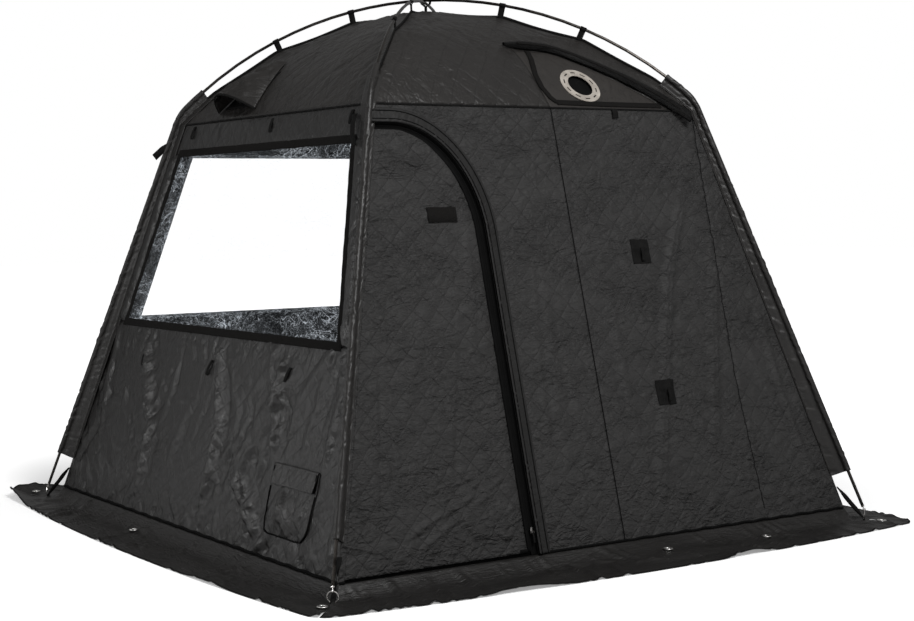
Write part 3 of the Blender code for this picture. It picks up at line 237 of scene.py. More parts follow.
# Feet: a steel pin stands in each leg, and its eye holds a ring that a strap ties back to the wall's corner.
# The strap is flat polyester webbing, folded round the ring and sewn into the corner.
steel = metal_finish("bright_steel", (0.50, 0.48, 0.46), (0.72, 0.70, 0.68), 0.18, 0.35, 0.00003)
dress(("foot_pin", "foot_ring", "zip_slider"), steel)
TAPE_PLY, TAPE_STEP, NARROWEST_SHEET, NARROWEST_TAPE = 0.0014, 0.006, 0.010, 0.003
BASE_HALF, TOP_HALF = 1.05, 0.682
WALL_FOOT_Z, ROOF_SEAM_Z = 0.043, 1.45977
CORNER_TURNS = {"front": 225.0, "right": -45.0, "left": 135.0, "back": 45.0}
UPRIGHT = np.array((0.0, 0.0, 1.0))
STRAP_RING, STRAP_SEAM = np.array((1.5529, 0.00655)), np.array((1.4605, 0.118))
STRAP_LOOP, STRAP_WIDTH, STRAP_TWIST, STRAP_BELLY, STRAP_GAP = 0.0026, 0.014, 1.3, 0.003, 0.0012


def webbing_finish(name, colour, thread):
    """Woven tape: ribs across it from its threads, on object coordinates."""
    material, tree, shader = new_finish(name, 0.85, specular=0.10)
    place = object_place(tree)
    cross = noise(tree, place, 700.0, 1.0)
    cloudy = noise(tree, place, 30.0, 3.0)
    light = tuple(value * 1.9 for value in colour)
    tree.links.new(blend_colour(tree, ranged(tree, cloudy, 0.3, 0.7, 0.0, 1.0), colour, light),
                   shader.inputs["Base Color"])
    bumped(tree, shader, maths(tree, "MULTIPLY", cross, thread))
    return material


webbing = webbing_finish("black_webbing", (0.0035, 0.0034, 0.0033), 0.0005)


def reached(points):
    """Distance along a line of points at each of them."""
    return np.concatenate(([0.0], np.cumsum(np.linalg.norm(np.diff(points, axis=0), axis=1))))


def tape_piece(name, ribbons, width, *replaced, material=webbing, body="tent", slot="webbing", thickness=TAPE_PLY,
               step=TAPE_STEP, held="stretched"):
    """Flat tape in one or more lengths, each given by the points of its centre line and the way its width lies."""
    bm = bmesh.new()
    for centre, across in ribbons:
        centre = np.array(centre, float)
        across = np.broadcast_to(np.array(across, float), centre.shape)
        across = across / np.linalg.norm(across, axis=1, keepdims=True)
        reach = reached(centre)
        grid = bmesh.ops.create_grid(bm, x_segments=2, y_segments=max(6, round(float(reach[-1]) / step)), size=0.5)
        for vert in grid["verts"]:
            level = (vert.co.y + 0.5) * reach[-1]
            middle = [np.interp(level, reach, centre[:, axis]) for axis in range(3)]
            side = [np.interp(level, reach, across[:, axis]) for axis in range(3)]
            vert.co = Vector(middle) + Vector(side) * vert.co.x * width
    mesh = mesh_of(name, bm)
    mesh.shade_smooth()
    mesh.materials.append(material)
    piece = placed(name, mesh)
    ply = piece.modifiers.new("Thickness", "SOLIDIFY")
    ply.thickness = thickness
    ply.offset = 0.0
    if replaced:
        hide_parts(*replaced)
    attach(piece, body)
    return piece


def corner_ways(corner):
    """Level directions out to a corner and across it."""
    turn = math.radians(CORNER_TURNS[corner])
    return np.array((math.cos(turn), math.sin(turn), 0.0)), np.array((-math.sin(turn), math.cos(turn), 0.0))


for corner in CORNER_TURNS:
    way, across = corner_ways(corner)
    run = STRAP_SEAM - STRAP_RING
    length = np.hypot(*run)
    run = run / length
    low, pull, square = (way * out + UPRIGHT * up for out, up in (STRAP_RING, run * length, (run[1], -run[0])))
    route, widths = [], []
    for shares, outer in ((np.linspace(1.0, 0.06, 12), True), (np.linspace(0.06, 1.0, 12), False)):
        for share in shares:
            twist = STRAP_TWIST * math.sin(math.pi * share) ** 2
            lead = STRAP_GAP + STRAP_BELLY * math.sin(math.pi * share) if outer else -STRAP_GAP
            route.append(low + pull * share + (square * math.cos(twist) - across * math.sin(twist)) * lead)
            widths.append(across * math.cos(twist) + square * math.sin(twist))
        if outer:
            for angle in np.linspace(-0.5 * math.pi, 0.5 * math.pi, 9):
                route.append(low - pull / length * math.cos(angle) * STRAP_LOOP - square * math.sin(angle) * STRAP_LOOP)
                widths.append(across)
    tape_piece("foot_strap_" + corner, [(route, widths)], STRAP_WIDTH, "corner_strap_" + corner, step=0.003)

# Crown: a strap holds the two poles where they cross, and is sewn to a square patch over the tips of the gores.
# At each roof seam two more straps loop round the pole and carry the cloth.
APEX_Z, ROOF_RADIUS, ROOF_DROP, CROWN_HALF = 1.888, 1.40, 0.043, 0.018
TAB_DIAGONALS, TAB_WIDTH, TAB_LOOP, TAB_NECK, TAB_GAP = (0.285, 0.578), 0.022, 0.0072, 0.003, 0.001
POLE_RISE, ELBOW_DIAGONAL = 0.00565, 0.969
TIE_RISE, PATCH_HALF = 0.0122, 0.045


def ridge_z(diagonal):
    return APEX_Z - ROOF_RADIUS + np.sqrt(ROOF_RADIUS ** 2 - diagonal ** 2) - ROOF_DROP


for corner in CORNER_TURNS:
    way, across = corner_ways(corner)
    rise = POLE_RISE if corner in ("right", "left") else -POLE_RISE
    for index, diagonal in enumerate(TAB_DIAGONALS):
        lean = math.asin(diagonal / ROOF_RADIUS)
        upright = way * math.sin(lean) + UPRIGHT * math.cos(lean)
        along = way * math.cos(lean) - UPRIGHT * math.sin(lean)
        lift = rise * math.cos(math.pi * diagonal / (2.0 * ELBOW_DIAGONAL)) ** 2
        middle = way * diagonal + UPRIGHT * (ridge_z(diagonal) + ROOF_DROP + lift)
        drop = (ROOF_DROP + lift) * math.cos(lean) + 0.002
        route = [middle - across * TAB_GAP - upright * drop,
                 middle - across * TAB_GAP - upright * (TAB_LOOP + TAB_NECK)]
        route += [middle + (across * math.sin(swing) + upright * math.cos(swing)) * TAB_LOOP
                  for swing in np.radians(np.linspace(-150.0, 150.0, 17))]
        route += [middle + across * TAB_GAP - upright * (TAB_LOOP + TAB_NECK),
                  middle + across * TAB_GAP - upright * drop]
        tape_piece("roof_tab_%s_%d" % (corner, index), [(route, along)], TAB_WIDTH, step=0.0025)
tie_half = [(-0.0008, -ROOF_DROP), (-0.0008, -TIE_RISE - 0.006), (-0.010, -TIE_RISE), (-0.0178, -TIE_RISE + 0.004),
            (-0.0195, 0.0), (-0.0178, TIE_RISE - 0.004), (-0.010, TIE_RISE)]
tie = tie_half + [(0.0, TIE_RISE + 0.0012)] + [(-x, z) for x, z in reversed(tie_half)]
tape_piece("crown_strap", [([(x, 0.0, APEX_Z + z) for x, z in tie], (0.0, 1.0, 0.0))], 0.014, "crown_tie", step=0.0025)
patch = [(x, 0.0, APEX_Z - ROOF_DROP + 0.0016 - 0.9 * x * x) for x in np.linspace(-PATCH_HALF, PATCH_HALF, 13)]
tape_piece("crown_patch", [(patch, (0.0, 1.0, 0.0))], 2.0 * PATCH_HALF, thickness=0.0025)

# Walls: quilted polyester, two skins with wadding between them, sewn on the bias in diamonds.
# The door wall is a frame panel round the door and a panel at the right, joined by an upright seam.
WALL_ANGLE = math.atan2(ROOF_SEAM_Z - WALL_FOOT_Z, BASE_HALF - TOP_HALF)
WALL_TOP = math.hypot(ROOF_SEAM_Z - WALL_FOOT_Z, BASE_HALF - TOP_HALF)
QUILT, QUILT_SPACING, WEAVE, CREASE_SCALE = 0.004, 0.062, 0.00012, 22.0
SIDE_STEP, MERGE_REACH = 0.001, 0.00002
DOOR, WINDOW, REAR, FAR = (math.radians(turn) for turn in (0.0, -90.0, 180.0, 90.0))
# Near-black thread and tape, darker than its own black. It is also laid as painted shade in the zip channel, along the
# door's hem and sill, in the holes under the chimney ring and the hood, and along the wall's foot.
shade_and_thread_black = webbing_finish("thread_black_and_painted_shade", (0.0010, 0.0010, 0.0010), 0.0003)


def wall_surface(along, up, lift):
    """Point on a wall that faces -Y, up its slope from the bottom seam, lift proud of it."""
    out = BASE_HALF - up * math.cos(WALL_ANGLE) + lift * math.sin(WALL_ANGLE)
    return along, -out, WALL_FOOT_Z + up * math.sin(WALL_ANGLE) + lift * math.cos(WALL_ANGLE)


def wall_half(up):
    return BASE_HALF - up * math.cos(WALL_ANGLE)


def on_side(turn, x, y, z):
    """Points of a surface that faces -Y, turned to their side of the tent."""
    x, y, z = np.broadcast_arrays(x, y, z)
    return np.stack((x * math.cos(turn) - y * math.sin(turn), x * math.sin(turn) + y * math.cos(turn), z), axis=-1)


def laid(turn, surface, points):
    """Places of (along, level, lift) points of a surface, on their side of the tent."""
    return [on_side(turn, *surface(*point)) for point in points]


def clamped(value):
    return np.clip(value, 0.0, 1.0)


def edge(points, shares=None):
    """Edge of a panel through (along, level) points, reached at shares of it or evenly by length."""
    points = np.array(points, float)
    if shares is None:
        reach = reached(points)
        shares = reach / reach[-1]
    return lambda t: (np.interp(t, shares, points[:, 0]), np.interp(t, shares, points[:, 1]))


def mirrored(low, high, middle=0.0):
    """Straight edges as far left as right of a panel's middle, each from its low end to its high end."""
    return [edge([(middle + sign * low[0], low[1]), (middle + sign * high[0], high[1])]) for sign in (-1.0, 1.0)]


def sew_panel(name, turn, across, rows, edges, surface, relief, material, slot, *replaced, flat, rests_on, area=None,
              held="stretched", body="tent", lift=0.0, thickness=QUILT, closed=False):
    """Cloth lofted between two edges on a surface, with a relief, and a UV map in metres of cloth.

    It is dressed and tied to its body and the solids that it stands for. Its record slot is not used.
    """
    bm = bmesh.new()
    bmesh.ops.create_grid(bm, x_segments=across, y_segments=rows, size=0.5)
    mesh = mesh_of(name, bm)
    corners = np.empty(len(mesh.vertices) * 3)
    mesh.vertices.foreach_get("co", corners)
    s, t = corners[0::3] + 0.5, corners[1::3] + 0.5
    (first_x, first_y), (second_x, second_y) = edges[0](t), edges[1](t)
    along, level = first_x + (second_x - first_x) * s, first_y + (second_y - first_y) * s
    shape = on_side(turn, *surface(along, level, lift + relief(along, level, s, t)))
    mesh.vertices.foreach_set("co", shape.ravel())
    picked = np.empty(len(mesh.loops), int)
    mesh.loops.foreach_get("vertex_index", picked)
    flat_map = mesh.uv_layers.new(name="cloth")
    flat_map.data.foreach_set("uv", np.stack((along[picked], level[picked]), axis=1).ravel())
    mesh.update()
    middle = (float(along.mean()), float(level.mean()))
    away = on_side(turn, *surface(*middle, 0.01)) - on_side(turn, *surface(*middle, 0.0))
    if closed:
        bm = bmesh.new()
        bm.from_mesh(mesh)
        bmesh.ops.remove_doubles(bm, verts=bm.verts, dist=MERGE_REACH)
        if sum((face.normal for face in bm.faces), Vector()).dot(Vector(away)) < 0.0:
            bmesh.ops.reverse_faces(bm, faces=bm.faces)
        bm.to_mesh(mesh)
        bm.free()
    else:
        normals = np.empty(len(mesh.polygons) * 3)
        mesh.polygons.foreach_get("normal", normals)
        if normals.reshape(-1, 3).sum(axis=0) @ away < 0.0:
            mesh.flip_normals()
    mesh.shade_smooth()
    mesh.materials.append(material)
    panel = placed(name, mesh)
    wall = panel.modifiers.new("Thickness", "SOLIDIFY")
    wall.thickness = thickness
    wall.offset = -1.0
    if replaced:
        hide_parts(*replaced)
    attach(panel, body)
    return panel


def creases(along, level, marks):
    """Sum of folds: x, y, angle in degrees, half length, width, rise and bend of each."""
    height = np.zeros_like(along)
    for x, y, angle, reach, width, rise, bend in marks:
        turn = math.radians(angle)
        dx, dy = along - x, level - y
        run = (dx * math.cos(turn) + dy * math.sin(turn)) / reach
        near = np.abs(run) < 1.0
        off = (dy[near] * math.cos(turn) - dx[near] * math.sin(turn) + bend * reach * (run[near] ** 2 - 0.3)) / width
        height[near] += rise * (1.0 - run[near] ** 2) ** 2 * np.exp(-off ** 2) * (1.0 - 0.9 * off ** 2)
    return height


def scattered(seed, count, x_range, y_range, angles, reach, width, rise):
    """Marks of small wrinkles at random places, leaning between two angles."""
    pick = np.random.default_rng(seed)
    marks = []
    for _ in range(count):
        size = pick.uniform(0.0, 1.0) ** 1.6
        marks.append((pick.uniform(*x_range), pick.uniform(*y_range), pick.uniform(*angles),
                      reach[0] + (reach[1] - reach[0]) * size, width[0] + (width[1] - width[0]) * size,
                      (rise[0] + (rise[1] - rise[0]) * size) * pick.choice((-1.0, 1.0)), pick.uniform(-0.25, 0.25)))
    return marks


def puckers(seed, start, end, spacing, reach, rise, side=0.0, width=0.006):
    """Marks of short gathers across a seam from start to end. side 1 or -1 keeps them on one side of it."""
    pick = np.random.default_rng(seed)
    run = np.array(end, float) - np.array(start, float)
    length = float(np.hypot(*run))
    angle = math.degrees(math.atan2(run[1], run[0]))
    normal = np.array((-run[1], run[0])) / length
    marks = []
    place = pick.uniform(0.0, spacing)
    while place < length:
        size = pick.uniform(0.4, 1.0)
        middle = np.array(start) + run * place / length + normal * side * reach * size * 0.5
        marks.append((middle[0], middle[1], angle + 90.0 + pick.uniform(-28.0, 28.0), reach * size,
                      width * (1.0 + 0.8 * size), rise * size * pick.choice((-1.0, 1.0)), pick.uniform(-0.2, 0.2)))
        place += spacing * pick.uniform(0.5, 1.5)
    return marks


def held(s, t, across, rows):
    """Share that brings a relief to nothing at a panel's sewn edges."""
    return clamped(np.minimum(s, 1.0 - s) * across) * clamped(np.minimum(t, 1.0 - t) * rows)


def drawn(along, level, lines, lean=0.0):
    """Sum of folds along measured lines: the (along, level) points, rise and width of each. lean steepens one side."""
    height = np.zeros(np.broadcast(along, level).shape)
    for line, rise, width in lines:
        nearest, share_of, breadth = np.full(height.shape, 9.0), np.zeros(height.shape), np.full(height.shape, width)
        for index, ((x0, y0), (x1, y1)) in enumerate(zip(line, line[1:])):
            run_x, run_y = x1 - x0, y1 - y0
            share = clamped(((along - x0) * run_x + (level - y0) * run_y) / (run_x ** 2 + run_y ** 2))
            reach = np.hypot(along - x0 - share * run_x, level - y0 - share * run_y)
            share_of = np.where(reach < nearest, (index + share) / (len(line) - 1), share_of)
            side = np.sign((along - x0) * run_y - (level - y0) * run_x)
            breadth = np.where(reach < nearest, width * (1.0 - lean * side), breadth)
            nearest = np.minimum(nearest, reach)
        ends = clamped(np.minimum(share_of, 1.0 - share_of) * 6.0)
        height += rise * np.exp(-(nearest / breadth) ** 2) * (1.0 - 0.9 * (nearest / breadth) ** 2) * ends
    return height


def sewn_lines(name, turn, surface, lines, width, lift, material=shade_and_thread_black, body="tent", slot="webbing", relief=None,
               thickness=0.001):
    """Narrow tape, cord or stitching laid on a panel along lines of (along, level) points."""
    ribbons = []
    for line in lines:
        line = np.array(line, float)
        reach = reached(line)
        stops = np.linspace(0.0, reach[-1], max(4, int(reach[-1] / TAPE_STEP)))
        x, y = (np.interp(stops, reach, line[:, axis]) for axis in (0, 1))
        run_x, run_y = np.gradient(x), np.gradient(y)
        size = np.hypot(run_x, run_y) / SIDE_STEP
        height = lift + (relief(x, y) if relief else 0.0 * x)
        centre = on_side(turn, *surface(x, y, height))
        ribbons.append((centre, on_side(turn, *surface(x - run_y / size, y + run_x / size, height)) - centre))
    return tape_piece(name, ribbons, width, material=material, body=body, slot=slot, thickness=thickness)


def new_group(name, numbers_in, numbers_out):
    """Node group with a cloth coordinate and numbers going in. Gives it with its inner ends."""
    group = bpy.data.node_groups.new(name, "ShaderNodeTree")
    group.interface.new_socket("Cloth", in_out="INPUT", socket_type="NodeSocketVector")
    for way, sockets in (("INPUT", numbers_in), ("OUTPUT", numbers_out)):
        for socket in sockets:
            group.interface.new_socket(socket, in_out=way, socket_type="NodeSocketFloat")
    return group, group.nodes.new("NodeGroupInput").outputs, group.nodes.new("NodeGroupOutput").inputs


quilting, quilt_in, quilt_out = new_group("diamond_quilting", ["Spacing"], ["Height", "Stitch"])
cloth_axes = quilting.nodes.new("ShaderNodeSeparateXYZ")
quilting.links.new(quilt_in["Cloth"], cloth_axes.inputs[0])
valleys = []
for operation in ("ADD", "SUBTRACT"):
    bias = maths(quilting, operation, cloth_axes.outputs["X"], cloth_axes.outputs["Y"])
    wander = maths(quilting, "MULTIPLY", noise(quilting, quilt_in["Cloth"], 4.0, 3.0), 0.07)
    row = maths(quilting, "DIVIDE", maths(quilting, "ADD", bias, wander), quilt_in["Spacing"])
    swing = maths(quilting, "SINE", maths(quilting, "MULTIPLY", row, math.pi / math.sqrt(2.0)))
    valleys.append(maths(quilting, "ABSOLUTE", swing))
nearest = maths(quilting, "MINIMUM", *valleys)
quilting.links.new(maths(quilting, "POWER", nearest, 0.45), quilt_out["Height"])
pulled_tight = ranged(quilting, noise(quilting, quilt_in["Cloth"], 5.0, 2.0), 0.40, 0.60, 0.08, 0.50)
stitch = maths(quilting, "MULTIPLY", ranged(quilting, nearest, 0.02, 0.10, 1.0, 0.0), pulled_tight)
quilting.links.new(stitch, quilt_out["Stitch"])

# Crumpled cloth: height of its crumples, a crease mask that the finishes use for painted shade, and a cloud for tone.
crumple, crumple_in, crumple_out = new_group("crumpled_cloth", [], ["Height", "Crease Shade", "Cloud"])
crumple_place = crumple_in["Cloth"]
patches = ranged(crumple, noise(crumple, crumple_place, 3.5, 2.0), 0.38, 0.62, 0.35, 1.0)
folds = []
for scale, weight in ((7.0, 1.0), (13.0, -0.6), (CREASE_SCALE, 0.42), (41.0, -0.17), (85.0, 0.07)):
    wave = maths(crumple, "SUBTRACT", noise(crumple, crumple_place, scale, 2.0, 0.5, 1.1), 0.5)
    ridge = maths(crumple, "ABSOLUTE", wave)
    folds.append(maths(crumple, "MULTIPLY", ridge, weight))
    if scale == CREASE_SCALE:
        crease_shade = ranged(crumple, ridge, 0.0, 0.03, 1.0, 0.0)
total = folds[0]
for fold in folds[1:]:
    total = maths(crumple, "ADD", total, fold)
crumple.links.new(maths(crumple, "MULTIPLY", total, patches), crumple_out["Height"])
crumple.links.new(maths(crumple, "MULTIPLY", crease_shade, patches), crumple_out["Crease Shade"])
crumple.links.new(noise(crumple, crumple_place, 4.0, 4.0, 0.6), crumple_out["Cloud"])


def cloth_map(tree):
    """The panel's own map, in metres of cloth."""
    node = tree.nodes.new("ShaderNodeUVMap")
    node.uv_map = "cloth"
    return node.outputs["UV"]


def drawn_out(tree, place, factors):
    """Coordinate multiplied along its axes, which draws a pattern out where the factor is small."""
    node = tree.nodes.new("ShaderNodeVectorMath")
    node.operation = "MULTIPLY"
    node.inputs[1].default_value = factors
    tree.links.new(place, node.inputs[0])
    return node.outputs[0]


def cloth_finish(name, dark, light, roughness, specular, quilt, wrinkle, stretch=(1.0, 1.0, 1.0)):
    """Dyed synthetic cloth: cloudy colour, bias quilting, crumples and a fine weave, on the panel's own map. Its crease
    lines are painted darker as painted shade, and its quilting stitches darker as dark thread.
    """
    material, tree, shader = new_finish(name, roughness, specular=specular)
    cloth = cloth_map(tree)
    crumpled = tree.nodes.new("ShaderNodeGroup")
    crumpled.node_tree = crumple
    tree.links.new(drawn_out(tree, cloth, stretch), crumpled.inputs["Cloth"])
    height = maths(tree, "MULTIPLY", crumpled.outputs["Height"], wrinkle)
    colour = blend_colour(tree, ranged(tree, crumpled.outputs["Cloud"], 0.3, 0.7, 0.0, 1.0), dark, light)
    # Painted shade: crease lines are blended toward this colour, a third of the dark dye. Stitch lines are blended
    # toward it too, as dark thread.
    shade = tuple(value * 0.30 for value in dark)
    lines = maths(tree, "MULTIPLY", crumpled.outputs["Crease Shade"], 0.5)
    if quilt:
        quilted = tree.nodes.new("ShaderNodeGroup")
        quilted.node_tree = quilting
        tree.links.new(cloth, quilted.inputs["Cloth"])
        quilted.inputs["Spacing"].default_value = QUILT_SPACING
        height = maths(tree, "ADD", height, maths(tree, "MULTIPLY", quilted.outputs["Height"], quilt))
        lines = maths(tree, "MAXIMUM", lines, quilted.outputs["Stitch"])
    colour = blend_colour(tree, lines, colour, shade)
    weave = noise(tree, cloth, 900.0, 1.0)
    height = maths(tree, "ADD", height, maths(tree, "MULTIPLY", weave, WEAVE))
    tree.links.new(colour, shader.inputs["Base Color"])
    gloss = ranged(tree, crumpled.outputs["Cloud"], 0.25, 0.75, roughness - 0.06, roughness + 0.08)
    tree.links.new(maths(tree, "ADD", gloss, maths(tree, "MULTIPLY", lines, 0.25)), shader.inputs["Roughness"])
    bumped(tree, shader, height)
    return material


door_cloth = cloth_finish("door_wall_cloth", (0.0200, 0.0196, 0.0194), (0.0280, 0.0274, 0.0271), 0.60, 0.18,
                          0.0034, 0.034, stretch=(1.0, 2.0, 1.0))
window_cloth = cloth_finish("window_wall_cloth", (0.0046, 0.0042, 0.0039), (0.0078, 0.0071, 0.0066), 0.36, 0.42,
                            0.0014, 0.010, stretch=(1.2, 0.9, 1.0))
DOOR_TOP, DOOR_ARCH_X, DOOR_ARCH_SPAN, DOOR_ARCH_RISE = 1.40200, -0.62, 0.302, 0.37
DOOR_ARCH_UP = DOOR_TOP - DOOR_ARCH_RISE
DOOR_STRIP, SEAM_X, ZIP_CHANNEL, HINGE_GAP = 0.020, 0.035, 0.026, 0.0003
UPRIGHT_SEAM = ((SEAM_X, 0.0), (SEAM_X, WALL_TOP))


def door_line(offset, start, low=0.0):
    """Points round the door's top and free side, offset out from the cut in the cloth, from start to the sill."""
    top = DOOR_TOP + offset
    points = [(start, top)]
    for step in range(41):
        angle = math.pi / 2.0 * step / 40
        points.append((DOOR_ARCH_X + (DOOR_ARCH_SPAN + offset) * math.sin(angle),
                       DOOR_ARCH_UP + (DOOR_ARCH_RISE + offset) * math.cos(angle)))
    points.append((DOOR_ARCH_X + DOOR_ARCH_SPAN + offset, low))
    return points


hinge_top = -wall_half(DOOR_TOP) + DOOR_STRIP
inner = [(-wall_half(0.0) + DOOR_STRIP, 0.0), (hinge_top, DOOR_TOP)] + door_line(0.0, hinge_top)[1:]
outer = [(-wall_half(0.0), 0.0), (-wall_half(WALL_TOP), WALL_TOP), (SEAM_X, WALL_TOP), (SEAM_X, 0.0)]
inner_shares = [0.0, 0.38, *np.linspace(0.40, 0.66, 41), 1.0]
door_folds = [(-0.13, 0.62, 87.0, 0.55, 0.030, 0.006, 0.05), (-0.05, 0.40, 96.0, 0.35, 0.022, 0.005, 0.1)]
door_folds += scattered(11, 260, (-0.45, 0.05), (0.0, 1.46), (-40.0, 40.0), (0.02, 0.09), (0.006, 0.014),
                        (0.0008, 0.0022))
door_folds += puckers(12, *UPRIGHT_SEAM, 0.045, 0.06, 0.0025)
wedge = [([(-0.169, 0.097), (-0.082, 0.024), (-0.016, 0.023)], 0.010, 0.020),
         ([(-0.21, 0.30), (-0.19, 0.62), (-0.15, 0.95)], 0.005, 0.016)]
sew_panel("door_frame_cloth", DOOR, 40, 420, (edge(inner, inner_shares), edge(outer, [0.0, 0.38, 0.62, 1.0])),
          wall_surface, lambda x, y, s, t: (creases(x, y, door_folds) + drawn(x, y, wedge)) * held(s, t, 14, 60),
          door_cloth, "quilted_cloth", "door_wall_frame", flat=(1.085, 1.464), rests_on=["pole_sleeve_front"],
          area=0.607)
sewn_lines("door_upright_seam", DOOR, wall_surface, [[(SEAM_X, 0.004), (SEAM_X, WALL_TOP - 0.004)]], 0.0035, 0.0006)

# Panel at the right of the door, from the upright seam to the corner, with a second seam up its middle.
# It is pulled tight between the corner and the seams, which leaves long folds from the sleeve to the skirt.
pulled_seams = [[(0.577, 1.200), (0.431, 0.880), (0.322, 0.496), (0.203, 0.053)],
                [(0.663, 1.007), (0.555, 0.531), (0.488, 0.226)]]
thin_seam = [(0.672, 1.440), (0.670, 1.253), (0.650, 0.525), (0.669, 0.040)]
right_lines = [(line, 0.011, 0.026) for line in pulled_seams] + [(line, -0.005, 0.007) for line in pulled_seams]
right_lines += [(thin_seam, -0.004, 0.010), ([(0.80, 0.80), (0.86, 0.40), (0.94, 0.06)], 0.006, 0.020)]
right_folds = [(0.80, 0.45, 112.0, 0.42, 0.026, 0.006, 0.1), (0.16, 0.55, 92.0, 0.50, 0.026, 0.006, 0.05),
               (0.25, 0.85, 100.0, 0.30, 0.022, 0.005, -0.08)]
right_folds += scattered(21, 560, (0.03, 1.05), (0.0, 1.46), (-38.0, 38.0), (0.02, 0.10), (0.006, 0.016),
                         (0.0010, 0.0030))
for seed, line, rise in ((26, pulled_seams[0], 0.0040), (27, pulled_seams[1], 0.0040), (22, thin_seam, 0.0025)):
    for first, second in zip(line, line[1:]):
        right_folds += puckers(seed, first, second, 0.030, 0.045, rise)
right_folds += puckers(23, *UPRIGHT_SEAM, 0.045, 0.06, 0.0025)
right_folds += puckers(24, (SEAM_X, 0.0), (1.05, 0.0), 0.04, 0.08, 0.0045)


def right_relief(x, y):
    return creases(x, y, right_folds) + drawn(x, y, right_lines)


edges = (edge(UPRIGHT_SEAM), edge([(wall_half(0.0), 0.0), (wall_half(WALL_TOP), WALL_TOP)]))
sew_panel("door_right_cloth", DOOR, 150, 215, edges, wall_surface,
          lambda x, y, s, t: right_relief(x, y) * held(s, t, 40, 60), door_cloth, "quilted_cloth", "door_wall_panel",
          flat=(1.015, 1.464), rests_on=["pole_sleeve_right"], area=1.216)
sewn_lines("right_panel_seams", DOOR, wall_surface, [thin_seam], 0.0028, 0.0008, relief=right_relief)
# The foot piping is near-black. This is partly a dark seam and partly painted shade where the wall bunches onto the
# skirt.
foot_lines = [[(x, 0.003 + 0.0015 * math.sin(70.0 * x)) for x in np.arange(SEAM_X, 1.045, 0.008)],
              [(-0.312, 0.003), (SEAM_X, 0.003)], [(-1.046, 0.003), (-1.028, 0.003)]]
sewn_lines("door_foot_piping", DOOR, wall_surface, foot_lines, 0.008, 0.0020, thickness=0.003)

# Guy patches: a square of tape sewn on the cloth, with a folded loop that stands off it and hangs down.
# A cord is tied to each loop and pegged out when it is windy.
PATCH_X, PATCH_ACROSS, PATCH_TALL = 0.318, 0.039, 0.042
for name, up in (("low", 0.468), ("high", 0.955)):
    base = float(right_relief(np.array([PATCH_X]), np.array([up]))[0]) + 0.0008

    def patch_relief(x, y, s, t):
        peak = clamped(1.0 - np.abs(x - PATCH_X) / 0.033 - np.abs(y - (up + 0.012)) / 0.030)
        return right_relief(x, y) - base + 0.0024 + 0.0105 * peak ** 0.8

    sides = mirrored((PATCH_ACROSS, up - PATCH_TALL), (PATCH_ACROSS, up + PATCH_TALL), PATCH_X)
    sew_panel("guy_patch_%s_cloth" % name, DOOR, 24, 26, sides, wall_surface, patch_relief, webbing, "webbing",
              "guy_patch_" + name, flat=(0.078, 0.084), rests_on=["door_right_cloth"], lift=base, thickness=0.002)
    tongue = [(PATCH_X, up + 0.010, base + 0.012), (PATCH_X + 0.001, up - 0.010, base + 0.013),
              (PATCH_X + 0.002, up - 0.034, base + 0.008)]
    tape_piece("guy_loop_" + name, [(laid(DOOR, wall_surface, tongue), (1.0, 0.0, 0.0))], 0.015, held="hung")

# Window wall: four pieces of the same quilted cloth round the clear film, satin where they catch the light.
# The lower piece hangs slack in three upright folds under the window, and the two side strips bulge.
WINDOW_HIGH, WINDOW_LOW, WINDOW_MARGIN, CORNER_ALLOWANCE = 1.348, 0.685, 0.080, 0.0042
POUCH_X, CALM_UP, CALM_ALONG_REACH, CALM_UP_REACH = 0.70, 0.28, 0.17, 0.07
window_folds = [(-0.82, 0.36, 96.0, 0.26, 0.028, 0.010, 0.1), (0.86, 0.42, 84.0, 0.28, 0.024, 0.010, 0.1),
                (-0.15, 0.30, 70.0, 0.2, 0.03, 0.008, 0.1)]
window_folds += scattered(31, 130, (-1.05, 1.05), (0.0, 0.69), (40.0, 140.0), (0.10, 0.30), (0.012, 0.026),
                          (0.0020, 0.0065))
window_folds += scattered(34, 300, (-1.05, 1.05), (0.0, 0.69), (-60.0, 60.0), (0.04, 0.12), (0.008, 0.012),
                          (0.0012, 0.0036))
hung_folds = [[(-0.555, 0.640), (-0.536, 0.550), (-0.388, 0.303), (-0.399, 0.013)],
              [(-0.010, 0.660), (0.033, 0.590), (0.130, 0.359), (0.111, 0.030)],
              [(0.480, 0.640), (0.477, 0.523), (0.509, 0.399), (0.524, 0.285)],
              [(0.291, 0.225), (0.406, 0.139), (0.527, 0.044)]]
hung_lines = [(line, 0.018, 0.030) for line in hung_folds]
hung_lines += [([(0.571, 0.638), (0.407, 0.435), (0.272, 0.203)], 0.012, 0.055)]
for seed, line in enumerate(hung_folds):
    for first, second in zip(line, line[1:]):
        window_folds += puckers(300 + seed, first, second, 0.040, 0.110, 0.0055, width=0.008)
window_folds += scattered(35, 260, (-0.98, 0.98), (0.69, 1.46), (20.0, 160.0), (0.02, 0.08), (0.007, 0.014),
                          (0.001, 0.0036))
window_folds += puckers(32, (-1.05, 0.0), (1.05, 0.0), 0.05, 0.10, 0.009, width=0.011)
window_folds += puckers(36, (-0.80, WINDOW_LOW - 0.01), (0.80, WINDOW_LOW - 0.01), 0.04, 0.07, 0.004, side=-1.0)


def window_relief(x, y):
    """Folds of the window wall, which lie nearly flat behind the inlet pocket."""
    calm = 1.0 - 0.9 * np.exp(-((x - POUCH_X) / CALM_ALONG_REACH) ** 4 - ((y - CALM_UP) / CALM_UP_REACH) ** 4)
    return (creases(x, y, window_folds) + drawn(x, y, hung_lines, lean=0.55)) * calm


def film_half(level):
    return wall_half(level) - CORNER_ALLOWANCE - WINDOW_MARGIN


